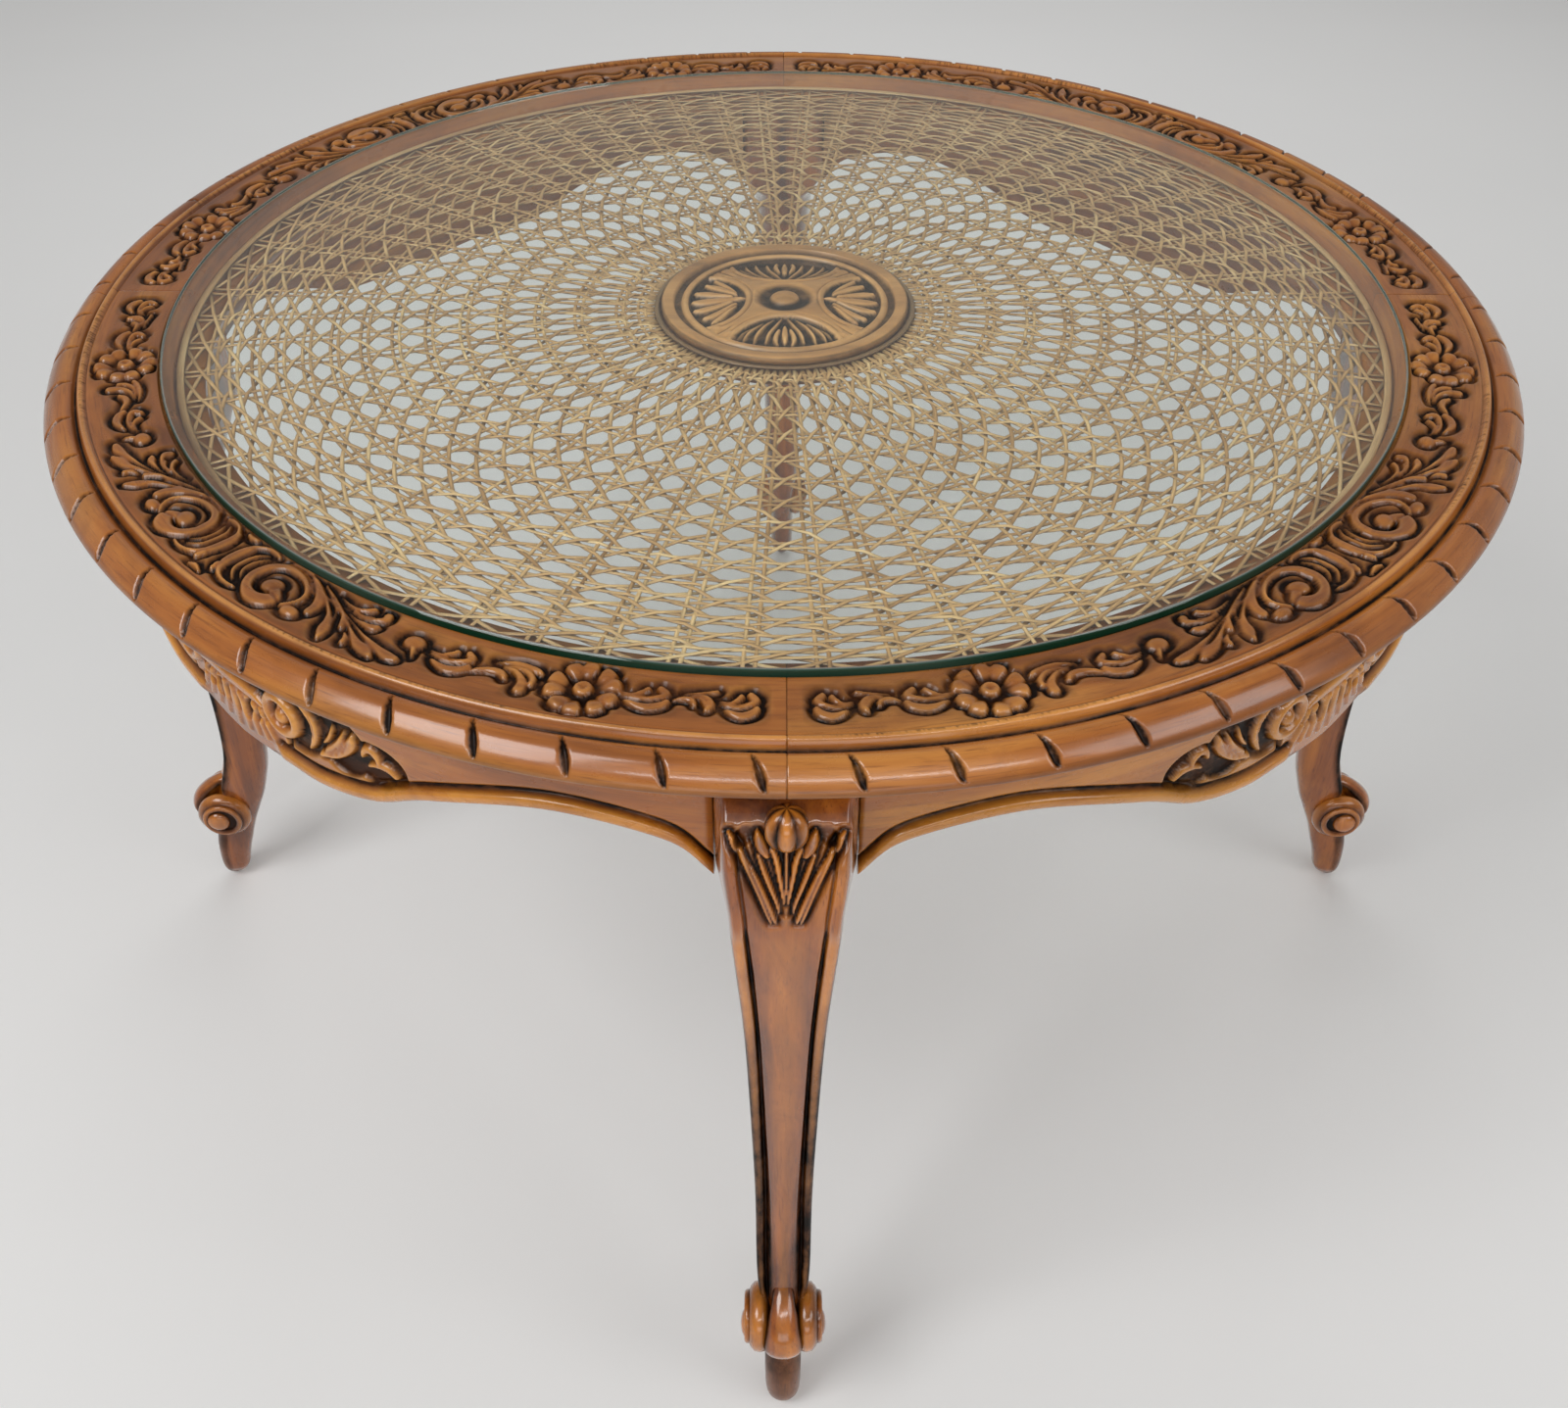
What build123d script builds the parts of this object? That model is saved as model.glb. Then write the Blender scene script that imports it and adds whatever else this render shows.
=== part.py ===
from build123d import *

import os
from math import cos, radians, sin

# Round coffee table: a carved wooden rim in four quarters holds a hand-woven cane panel and a
# loose glass top over it. Four curved aprons join four cabriole legs with scroll feet.
# Millimetres, +Z up, the floor at Z = 0 and the table's axis on Z. The legs stand on the X and Y
# axes, at the same four places as the joints of the rim.

# How far the middle of a quarter-round arc stands from its corner, as a share of its radius
ARC_CORNER = 0.3

# Glass
TABLE_HEIGHT = 537.0
GLASS_RADIUS = 385.0
GLASS_THICKNESS = 6.0
GLASS_EDGE_CHAMFER = 0.8
GLASS_PROUD = 3.0
GLASS_SIDE_GAP = 1.4

# Rim, from the opening outwards
FRIEZE_Z = TABLE_HEIGHT - GLASS_PROUD
GLASS_SEAT_Z = TABLE_HEIGHT - GLASS_THICKNESS
REBATE_RADIUS = GLASS_RADIUS + GLASS_SIDE_GAP
CANE_STEP_RADIUS = 379.5
OPENING_RADIUS = 362.0
CANE_LEDGE_Z = 519.0
RIM_UNDERSIDE_Z = 509.0
FRIEZE_OUTER_RADIUS = 426.0
BEAD_CREST = (429.8, FRIEZE_Z + 1.8)
BEAD_EDGE = (432.4, FRIEZE_Z - 2.0)
QUIRK_Z = FRIEZE_Z - 4.8
QUIRK_RADII = (433.4, 434.6)
OVOLO_START = (435.4, FRIEZE_Z - 3.4)
OVOLO_CROWN = (447.0, FRIEZE_Z - 4.2)
RIM_RADIUS = 453.5
OVOLO_WIDEST_Z = 521.0
OVOLO_UNDERSIDE = (450.5, 518.0)
COVE_TOP = (441.0, 516.6)
COVE_MIDDLE = (437.6, 514.4)
PLANK_RADIUS = 436.0
NICKS_PER_QUARTER = 16
NICK_PHASE = 0.72
NICK_SIZE = (19.0, 1.8, 5.0)
NICK_CENTRE = (447.5, 530.0)
NICK_LEAN = 24.0
NICK_TIP = 31.0
LAST_NICK_ANGLE = 89.0

# Cane and the hub in its middle
CANE_THICKNESS = 2.5
CANE_RADIUS = 377.5
CANE_TOP_Z = CANE_LEDGE_Z + CANE_THICKNESS
CANE_HOLE_RADIUS = 2.4
CANE_HOLES_AT = 375.4
CANE_HOLES_PER_QUARTER = 16
# Binders as inner radius, outer radius and thickness
OUTER_BINDER = (373.2, 377.8, 1.2)
INNER_BINDER = (80.4, 84.0, 1.1)
MEDALLION_RADIUS = 79.3
MEDALLION_TOP_Z = 527.0
MEDALLION_FIELD_Z = 523.8
SPIGOT_RADIUS = 66.0
CANE_INNER_RADIUS = SPIGOT_RADIUS + 0.5
MEDALLION_EDGE = 1.6
MEDALLION_GROOVE = (65.0, 66.5, 67.5)
MEDALLION_BEAD = (59.5, 62.5)
MEDALLION_BEAD_DROP = 0.4
MEDALLION_RING = (14.0, 17.0, 20.0)
MEDALLION_RING_DROP = 1.0
HUB_RADIUS = 84.0
HUB_THICKNESS = 9.0
HUB_EDGE_ROUNDING = 3.0
HUB_SCREW_AT = 42.0
HUB_SCREW_COUNT = 4
HUB_SCREW_RADIUS = 1.8
HUB_SCREW_HEAD = (3.4, 2.0)
HUB_SCREW_SINK = 4.0
HUB_SCREW_LENGTH = 8.6
HUB_SCREW_TIP_GAP = 0.4
HUB_SCREW_HEAD_GAP = 0.2
BUTTON_RADIUS = 10.0
BUTTON_RISE = 3.8

# Aprons
APRON_OUTER_RADIUS = 420.0
APRON_THICKNESS = 24.0
APRON_INNER_RADIUS = APRON_OUTER_RADIUS - APRON_THICKNESS
APRON_BEAD_HEIGHT = 9.6
APRON_BEAD_PROUD = 3.2
# Lower edge as (degrees from the apron's middle, height), on one side of the middle
APRON_EDGE_MIDDLE = ((0, 421.5), (6, 424.5), (10, 424.0), (15, 431.2))
APRON_EDGE_END = ((20, 447.8), (29, 464.5), (37, 456.6), (40.3, 434.0))
APRON_BLANK_LOW = 400.0
CARTOUCHE_PROUD = 4.0
VOLUTE_ANGLE = 6.6
VOLUTE_Z = 456.0
VOLUTE_RADIUS = 15.5
CARTOUCHE_BAR = (88.0, 30.0)
CARTOUCHE_FAN_DROP = 4.0

# Legs, in the radial plane: X is the distance from the table's axis
BLOCK_HALF_WIDTH = 34.0
BLOCK_FACE = 423.0
BLOCK_BACK = 376.0
KNEE_FRONT = ((428, 501), (442, 490), (452, 469), (456.5, 444), (455, 413))
SHANK_FRONT = ((450, 370), (444.5, 310), (440.5, 245), (440, 190), (443.5, 142), (453, 110))
TOE_FRONT = ((453, 110), (466, 101), (476, 90), (480, 80), (479, 67), (474, 52), (472, 38))
PEG_OUTER = 472.0
PEG_INNER = 448.0
PEG_ROUNDING = 8.0
SHANK_BACK = ((438, 38), (423, 80), (410.5, 138), (405, 200), (403, 260))
KNEE_BACK = ((404, 315), (395, 375), (382, 418), (376, 440))
# Half width of the leg against height
FOOT_SIDE = ((10.3, 6), (12.2, 38), (16.2, 70), (16.0, 125))
SHANK_SIDE = ((16.6, 185), (18.5, 258), (21, 337), (24.4, 395), (28.5, 432), (BLOCK_HALF_WIDTH, 452))
PEG_TAPER = 1.5
SCROLL_CENTRE = (452.0, 80.0)
SCROLL_RADIUS = 18.5
SCROLL_HALF_WIDTH = 25.0
SCROLL_LOBE_WIDTH = 14.0
SCROLL_EYE = (8.5, 1.5)
BUD_CENTRE = (446.0, 495.0)
BUD_RADIUS = 9.5

# Joinery
SCREW_CLEARANCE = 0.05
DOWEL_RADIUS = 4.0
DOWEL_LENGTH = 38.0
DOWEL_END_GAP = 1.0
APRON_DOWEL_HEIGHTS = (474.0, 496.0)
APRON_DOWEL_AT = 408.0
RIM_DOWELS_AT = (402.0, 424.0)
RIM_DOWEL_Z = 520.0
RIM_SCREW_ANGLE = 29.0
RIM_SCREW_AT = 408.0
RIM_SCREW_HEAD = (4.2, 3.0)
RIM_SCREW_SHANK_RADIUS = 2.2
RIM_SCREW_HEAD_Z = 480.0
RIM_SCREW_TIP_Z = 523.0
# Screw point length in shank radii, tip radius, and the driver's socket as shares of the head
SCREW_POINT = 2.5
SCREW_TIP_RADIUS = 0.4
SCREW_SOCKET = (0.45, 0.6)
GLUE_BLOCK_SIDE = 19.0
GLUE_BLOCK_HEIGHT = 44.0
GLUE_BLOCK_EXCESS = 5.0

QUARTERS = {"front_right": -90.0, "back_right": 0.0, "back_left": 90.0, "front_left": 180.0}
LEGS = {"right": 0.0, "back": 90.0, "left": 180.0, "front": 270.0}


def turned(plane, angle):
    """The plane turned about the table's axis by the angle in degrees."""
    return plane.rotated((0, 0, angle))


def save(part, name):
    """Labels one finished piece and writes its STEP file."""
    part.label = name
    export_step(part, f"parts/{name}.step")


def rim_quarter(name, start):
    """A quarter of the rim: plank, seat for the glass, ledge for the cane, bead, quirk and ovolo edge."""
    with BuildPart() as quarter:
        with BuildSketch(turned(Plane.XZ, start)):
            with BuildLine():
                Polyline(
                    (PLANK_RADIUS, RIM_UNDERSIDE_Z),
                    (OPENING_RADIUS, RIM_UNDERSIDE_Z),
                    (OPENING_RADIUS, CANE_LEDGE_Z),
                    (CANE_STEP_RADIUS, CANE_LEDGE_Z),
                    (CANE_STEP_RADIUS, GLASS_SEAT_Z),
                    (REBATE_RADIUS, GLASS_SEAT_Z),
                    (REBATE_RADIUS, FRIEZE_Z),
                    (FRIEZE_OUTER_RADIUS, FRIEZE_Z),
                )
                ThreePointArc((FRIEZE_OUTER_RADIUS, FRIEZE_Z), BEAD_CREST, BEAD_EDGE)
                Polyline(BEAD_EDGE, (QUIRK_RADII[0], QUIRK_Z), (QUIRK_RADII[1], QUIRK_Z), OVOLO_START)
                ThreePointArc(OVOLO_START, OVOLO_CROWN, (RIM_RADIUS, OVOLO_WIDEST_Z))
                Polyline((RIM_RADIUS, OVOLO_WIDEST_Z), OVOLO_UNDERSIDE, COVE_TOP)
                ThreePointArc(COVE_TOP, COVE_MIDDLE, (PLANK_RADIUS, RIM_UNDERSIDE_Z))
            make_face()
        revolve(axis=Axis.Z, revolution_arc=90)
        with Locations((0, 0, CANE_LEDGE_Z)):
            with PolarLocations(
                CANE_HOLES_AT,
                CANE_HOLES_PER_QUARTER,
                start_angle=start + 45 / CANE_HOLES_PER_QUARTER,
                angular_range=90,
            ):
                Hole(CANE_HOLE_RADIUS)
        for nick in range(NICKS_PER_QUARTER):
            angle = start + 90 * (nick + NICK_PHASE) / NICKS_PER_QUARTER
            if angle > start + LAST_NICK_ANGLE:
                continue
            with Locations(nick_location(angle)):
                Box(*NICK_SIZE, mode=Mode.SUBTRACT)
        for seam in (start, start + 90):
            with Locations(*rim_dowel_planes(seam)):
                Cylinder(DOWEL_RADIUS + SCREW_CLEARANCE, DOWEL_LENGTH + DOWEL_END_GAP, mode=Mode.SUBTRACT)
        with Locations(*rim_screw_planes(start + 45)):
            Cylinder(
                RIM_SCREW_SHANK_RADIUS + SCREW_CLEARANCE,
                RIM_SCREW_TIP_Z - RIM_UNDERSIDE_Z + DOWEL_END_GAP,
                align=(Align.CENTER, Align.CENTER, Align.MIN),
                mode=Mode.SUBTRACT,
            )
    save(quarter.part, f"rim_{name}")


def nick_location(angle):
    """Where one leaning cut crosses the ovolo edge, as a location."""
    radius, height = NICK_CENTRE
    centre = (radius * cos(radians(angle)), radius * sin(radians(angle)), height)
    return Location(centre, (0, 0, angle + NICK_LEAN)) * Location((0, 0, 0), (0, NICK_TIP, 0))


def rim_dowel_planes(seam):
    """Planes through the two dowels of one rim joint, their normals along the dowels."""
    planes = []
    for radius in RIM_DOWELS_AT:
        plane = turned(Plane.XZ, seam)
        planes.append(Plane(plane.from_local_coords((radius, RIM_DOWEL_Z, 0)), z_dir=plane.z_dir))
    return planes


def rim_screw_planes(middle, height=RIM_UNDERSIDE_Z):
    """Planes at the two screws that hold one apron to the rim."""
    planes = []
    for side in (-1, 1):
        angle = radians(middle + side * RIM_SCREW_ANGLE)
        planes.append(Plane((RIM_SCREW_AT * cos(angle), RIM_SCREW_AT * sin(angle), height)))
    return planes


def apron_dowel_planes(leg_angle):
    """Planes through the four dowels that join one leg to its two aprons, normals along the dowels."""
    planes = []
    for side in (-1, 1):
        for height in APRON_DOWEL_HEIGHTS:
            plane = turned(Plane.XZ, leg_angle)
            centre = plane.from_local_coords((APRON_DOWEL_AT, height, side * BLOCK_HALF_WIDTH))
            planes.append(Plane(centre, z_dir=plane.z_dir))
    return planes


def apron_edge_points(lift):
    """The lower edge on the flat plane across the apron's middle, raised by lift."""
    edge = APRON_EDGE_MIDDLE + APRON_EDGE_END
    right = [(APRON_OUTER_RADIUS * sin(radians(angle)), z + lift) for angle, z in edge]
    left = [(-x, z) for x, z in reversed(right[1:])]
    return left + right


def apron_region(plane, low_lift, high_z=None, high_lift=None):
    """The area of the apron's face between its lower edge and either a straight or a parallel upper edge."""
    with BuildSketch(plane) as region:
        with BuildLine():
            low = Spline(*apron_edge_points(low_lift))
            if high_lift is None:
                Polyline(low @ 1, ((low @ 1).X, high_z), ((low @ 0).X, high_z), low @ 0)
            else:
                high = Spline(*apron_edge_points(high_lift))
                Line(low @ 0, high @ 0)
                Line(low @ 1, high @ 1)
        make_face()
    return region.sketch


def apron_ring(start, inner, outer, low, high):
    """A quarter ring between two radii and two heights."""
    with BuildSketch(turned(Plane.XZ, start)) as section:
        with BuildLine():
            Polyline((inner, low), (outer, low), (outer, high), (inner, high), close=True)
        make_face()
    return section.sketch


def apron(name, start):
    """One curved apron: shaped lower edge with a bead along it and a raised cartouche in its middle."""
    face_plane = turned(Plane.YZ, start + 45)
    low = APRON_BLANK_LOW
    bead_radius = APRON_OUTER_RADIUS + APRON_BEAD_PROUD
    cartouche_radius = APRON_OUTER_RADIUS + CARTOUCHE_PROUD
    with BuildPart() as board:
        add(apron_ring(start, APRON_INNER_RADIUS, APRON_OUTER_RADIUS, low, RIM_UNDERSIDE_Z))
        revolve(axis=Axis.Z, revolution_arc=90)
        extrude(
            apron_region(face_plane, 0, high_z=RIM_UNDERSIDE_Z + 1),
            amount=RIM_RADIUS,
            mode=Mode.INTERSECT,
        )
    with BuildPart() as bead:
        add(apron_ring(start, APRON_OUTER_RADIUS - 1, bead_radius, low, RIM_UNDERSIDE_Z))
        revolve(axis=Axis.Z, revolution_arc=90)
        extrude(
            apron_region(face_plane, 0, high_lift=APRON_BEAD_HEIGHT),
            amount=RIM_RADIUS,
            mode=Mode.INTERSECT,
        )
    with BuildPart() as cartouche:
        add(apron_ring(start, APRON_OUTER_RADIUS - 1, cartouche_radius, low, RIM_UNDERSIDE_Z))
        revolve(axis=Axis.Z, revolution_arc=90)
        extrude(cartouche_face(face_plane), amount=RIM_RADIUS, mode=Mode.INTERSECT)
    with BuildPart() as whole:
        add(board.part)
        add(bead.part)
        add(cartouche.part)
        with Locations(turned(Plane.XY, start), turned(Plane.XY, start + 90)):
            Box(2 * RIM_RADIUS, 2 * BLOCK_HALF_WIDTH, 2 * TABLE_HEIGHT, mode=Mode.SUBTRACT)
        for leg_angle in (start, start + 90):
            with Locations(*apron_dowel_planes(leg_angle)):
                Cylinder(DOWEL_RADIUS + SCREW_CLEARANCE, DOWEL_LENGTH + DOWEL_END_GAP, mode=Mode.SUBTRACT)
        with Locations(*rim_screw_planes(start + 45, RIM_SCREW_HEAD_Z)):
            Hole(RIM_SCREW_SHANK_RADIUS + SCREW_CLEARANCE)
            Cylinder(
                RIM_SCREW_HEAD[0] + 2 * SCREW_CLEARANCE,
                RIM_SCREW_HEAD_Z - low,
                align=(Align.CENTER, Align.CENTER, Align.MAX),
                mode=Mode.SUBTRACT,
            )
    save(whole.part, f"apron_{name}")


def cartouche_face(plane):
    """Outline of the carved cartouche: a scalloped fan under a bar between two volutes."""
    volute_x = APRON_OUTER_RADIUS * sin(radians(VOLUTE_ANGLE))
    with BuildSketch(plane) as face:
        with Locations((-volute_x, VOLUTE_Z), (volute_x, VOLUTE_Z)):
            Circle(VOLUTE_RADIUS)
        with Locations((0, VOLUTE_Z)):
            Rectangle(*CARTOUCHE_BAR)
        fan_z = VOLUTE_Z - CARTOUCHE_FAN_DROP
        with Locations((0, fan_z)):
            Ellipse(volute_x, fan_z - APRON_EDGE_MIDDLE[0][1])
    return face.sketch


def leg(name, angle):
    """One cabriole leg: top block between the aprons, knee with a bud, shank, scroll and peg foot."""
    side = turned(Plane.XZ, angle)
    front = turned(Plane.YZ, angle)
    edge = FOOT_SIDE + SHANK_SIDE
    peg_half_width = FOOT_SIDE[0][0] - PEG_TAPER
    with BuildPart() as whole:
        with BuildSketch(side):
            with BuildLine():
                Line((BLOCK_FACE, RIM_UNDERSIDE_Z), KNEE_FRONT[0])
                Spline(*KNEE_FRONT, *SHANK_FRONT)
                Spline(*TOE_FRONT)
                Line(TOE_FRONT[-1], (PEG_OUTER, PEG_ROUNDING))
                ThreePointArc(
                    (PEG_OUTER, PEG_ROUNDING),
                    (PEG_OUTER - ARC_CORNER * PEG_ROUNDING, ARC_CORNER * PEG_ROUNDING),
                    (PEG_OUTER - PEG_ROUNDING, 0),
                )
                Line((PEG_OUTER - PEG_ROUNDING, 0), (PEG_INNER + PEG_ROUNDING, 0))
                Line((PEG_INNER + PEG_ROUNDING, 0), (PEG_INNER, PEG_ROUNDING))
                Line((PEG_INNER, PEG_ROUNDING), SHANK_BACK[0])
                Spline(*SHANK_BACK, *KNEE_BACK)
                Line(KNEE_BACK[-1], (BLOCK_BACK, RIM_UNDERSIDE_Z))
                Line((BLOCK_BACK, RIM_UNDERSIDE_Z), (BLOCK_FACE, RIM_UNDERSIDE_Z))
            make_face()
        extrude(amount=BLOCK_HALF_WIDTH, both=True)
        with BuildSketch(front):
            with BuildLine():
                right = Spline(*edge)
                left = Spline(*[(-x, z) for x, z in edge])
                block_corners = [(x, RIM_UNDERSIDE_Z) for x in (BLOCK_HALF_WIDTH, -BLOCK_HALF_WIDTH)]
                Polyline(right @ 1, *block_corners, left @ 1)
                Polyline(right @ 0, (peg_half_width, 0), (-peg_half_width, 0), left @ 0)
            make_face()
        extrude(amount=2 * GLASS_RADIUS, mode=Mode.INTERSECT)
        bud = side.from_local_coords((*BUD_CENTRE, 0))
        with Locations(bud):
            Sphere(BUD_RADIUS)
        scroll = Plane(side.from_local_coords((*SCROLL_CENTRE, 0)), z_dir=side.z_dir)
        lobe_at = SCROLL_HALF_WIDTH - SCROLL_LOBE_WIDTH / 2
        with Locations(scroll.offset(-lobe_at), scroll.offset(lobe_at)):
            Cylinder(SCROLL_RADIUS, SCROLL_LOBE_WIDTH)
        with Locations(scroll):
            Cylinder(SCROLL_EYE[0], 2 * (SCROLL_HALF_WIDTH + SCROLL_EYE[1]))
        with Locations(*apron_dowel_planes(angle)):
            Cylinder(DOWEL_RADIUS + SCREW_CLEARANCE, DOWEL_LENGTH + DOWEL_END_GAP, mode=Mode.SUBTRACT)
    save(whole.part, f"leg_{name}")


def apron_dowels():
    """The round wooden dowels between the legs and the aprons, four to a leg."""
    with BuildPart() as dowels:
        for angle in LEGS.values():
            with Locations(*apron_dowel_planes(angle)):
                Cylinder(DOWEL_RADIUS, DOWEL_LENGTH)
    save(dowels.part, "apron_dowels")


def rim_dowels():
    """The round wooden dowels across the four joints of the rim, two to a joint."""
    with BuildPart() as dowels:
        for angle in LEGS.values():
            with Locations(*rim_dowel_planes(angle)):
                Cylinder(DOWEL_RADIUS, DOWEL_LENGTH)
    save(dowels.part, "rim_dowels")


def wood_screws(name, planes, head, shank_radius, length):
    """A group of wood screws: each a round head under its plane and a shank that ends in a point."""
    head_radius, head_height = head
    point_length = SCREW_POINT * shank_radius
    socket = (SCREW_SOCKET[0] * head_radius, SCREW_SOCKET[1] * head_height)
    up = (Align.CENTER, Align.CENTER, Align.MIN)
    with BuildPart() as screws:
        for plane in planes:
            with Locations(plane):
                Cylinder(head_radius, head_height, align=(Align.CENTER, Align.CENTER, Align.MAX))
                Cylinder(shank_radius, length - point_length, align=up)
            with Locations(plane.offset(length - point_length)):
                Cone(shank_radius, SCREW_TIP_RADIUS, point_length, align=up)
            with Locations(plane.offset(-head_height)):
                Cylinder(*socket, align=up, mode=Mode.SUBTRACT)
    save(screws.part, name)


def glue_block(name, leg_angle, side):
    """A triangular block glued in the corner behind an apron's end, against the side of the leg's block."""
    base = RIM_UNDERSIDE_Z - GLUE_BLOCK_HEIGHT
    inner = APRON_INNER_RADIUS - GLUE_BLOCK_SIDE
    outer = APRON_INNER_RADIUS + GLUE_BLOCK_EXCESS
    near = side * BLOCK_HALF_WIDTH
    far = side * (BLOCK_HALF_WIDTH + GLUE_BLOCK_SIDE + GLUE_BLOCK_EXCESS)
    plane = turned(Plane.XY.offset(base), leg_angle)
    with BuildPart() as block:
        with BuildSketch(plane):
            with BuildLine():
                Polyline((inner, near), (outer, near), (outer, far), close=True)
            make_face()
        extrude(amount=GLUE_BLOCK_HEIGHT)
        with Locations((0, 0, base)):
            Cylinder(
                APRON_INNER_RADIUS,
                GLUE_BLOCK_HEIGHT,
                align=(Align.CENTER, Align.CENTER, Align.MIN),
                mode=Mode.INTERSECT,
            )
    save(block.part, name)


def ring(name, inner, outer, low, high):
    """A flat ring about the table's axis."""
    with BuildPart() as flat:
        with BuildSketch(Plane.XY.offset(low)):
            Circle(outer)
            Circle(inner, mode=Mode.SUBTRACT)
        extrude(amount=high - low)
    save(flat.part, name)


def medallion():
    """The turned cap in the middle of the cane: flat outer ring, groove, bead, dished field and button."""
    top = MEDALLION_TOP_Z
    field = MEDALLION_FIELD_Z
    groove = MEDALLION_GROOVE
    bead = MEDALLION_BEAD
    ring_at = MEDALLION_RING
    ring_top = top - MEDALLION_RING_DROP
    edge_low = (MEDALLION_RADIUS, top - MEDALLION_EDGE)
    edge_high = (MEDALLION_RADIUS - MEDALLION_EDGE, top)
    edge_middle = (MEDALLION_RADIUS - ARC_CORNER * MEDALLION_EDGE, top - ARC_CORNER * MEDALLION_EDGE)
    button_radius = (BUTTON_RADIUS**2 + BUTTON_RISE**2) / (2 * BUTTON_RISE)
    with BuildPart() as cap:
        with BuildSketch(Plane.XZ):
            with BuildLine():
                Polyline(
                    (0, CANE_LEDGE_Z),
                    (SPIGOT_RADIUS, CANE_LEDGE_Z),
                    (SPIGOT_RADIUS, CANE_TOP_Z),
                    (MEDALLION_RADIUS, CANE_TOP_Z),
                    edge_low,
                )
                ThreePointArc(edge_low, edge_middle, edge_high)
                Polyline(edge_high, (groove[2], top), (groove[1], field), (groove[0], field))
                ThreePointArc((groove[0], field), (bead[1], top - MEDALLION_BEAD_DROP), (bead[0], field))
                Polyline((bead[0], field), (ring_at[2], field), (ring_at[1], ring_top))
                Polyline((ring_at[1], ring_top), (ring_at[0], ring_top), (BUTTON_RADIUS, field))
                button = RadiusArc((BUTTON_RADIUS, field), (0, field + BUTTON_RISE), -button_radius)
                Line(button @ 1, (0, CANE_LEDGE_Z))
            make_face()
        revolve(axis=Axis.Z)
        with Locations(*hub_screw_planes()):
            Cylinder(
                HUB_SCREW_RADIUS + SCREW_CLEARANCE,
                HUB_SCREW_LENGTH + HUB_SCREW_TIP_GAP,
                align=(Align.CENTER, Align.CENTER, Align.MIN),
                mode=Mode.SUBTRACT,
            )
    save(cap.part, "medallion")


def hub_screw_planes():
    """Planes at the seats of the screws that clamp the hub plate to the medallion from below."""
    planes = []
    seat_z = CANE_LEDGE_Z - HUB_THICKNESS + HUB_SCREW_SINK
    for index in range(HUB_SCREW_COUNT):
        angle = radians(45 + 360 * index / HUB_SCREW_COUNT)
        planes.append(Plane((HUB_SCREW_AT * cos(angle), HUB_SCREW_AT * sin(angle), seat_z)))
    return planes


def hub_plate():
    """The round wooden plate under the cane, with a rounded lower edge and four countersunk screw holes."""
    with BuildPart() as plate:
        with BuildSketch(Plane.XY.offset(CANE_LEDGE_Z - HUB_THICKNESS)):
            Circle(HUB_RADIUS)
        extrude(amount=HUB_THICKNESS)
        fillet(plate.edges().group_by(Axis.Z)[0], HUB_EDGE_ROUNDING)
        with Locations(*hub_screw_planes()):
            Hole(HUB_SCREW_RADIUS + SCREW_CLEARANCE)
            Cylinder(
                HUB_SCREW_HEAD[0] + HUB_SCREW_HEAD_GAP,
                HUB_THICKNESS,
                align=(Align.CENTER, Align.CENTER, Align.MAX),
                mode=Mode.SUBTRACT,
            )
    save(plate.part, "hub_plate")


def glass_top():
    """The loose round glass, with a small polished chamfer on both edges."""
    with BuildPart() as glass:
        with BuildSketch(Plane.XY.offset(GLASS_SEAT_Z)):
            Circle(GLASS_RADIUS)
        extrude(amount=GLASS_THICKNESS)
        chamfer(glass.edges().filter_by(GeomType.CIRCLE), GLASS_EDGE_CHAMFER)
    save(glass.part, "glass_top")


os.makedirs("parts", exist_ok=True)

for quarter_name, quarter_start in QUARTERS.items():
    rim_quarter(quarter_name, quarter_start)
    apron(quarter_name, quarter_start)

for leg_name, leg_angle in LEGS.items():
    leg(leg_name, leg_angle)
    glue_block(f"glue_block_{leg_name}_a", leg_angle, -1)
    glue_block(f"glue_block_{leg_name}_b", leg_angle, 1)

glass_top()
ring("cane_panel", CANE_INNER_RADIUS, CANE_RADIUS, CANE_LEDGE_Z, CANE_TOP_Z)
ring("outer_binder", OUTER_BINDER[0], OUTER_BINDER[1], CANE_TOP_Z, CANE_TOP_Z + OUTER_BINDER[2])
ring("inner_binder", INNER_BINDER[0], INNER_BINDER[1], CANE_TOP_Z, CANE_TOP_Z + INNER_BINDER[2])
medallion()
hub_plate()
apron_dowels()
rim_dowels()
wood_screws(
    "rim_screws",
    [plane for start in QUARTERS.values() for plane in rim_screw_planes(start + 45, RIM_SCREW_HEAD_Z)],
    RIM_SCREW_HEAD,
    RIM_SCREW_SHANK_RADIUS,
    RIM_SCREW_TIP_Z - RIM_SCREW_HEAD_Z,
)
wood_screws("hub_screws", hub_screw_planes(), HUB_SCREW_HEAD, HUB_SCREW_RADIUS, HUB_SCREW_LENGTH)
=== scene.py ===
import math

import bpy
import numpy as np
from mathutils import Matrix, Vector


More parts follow.
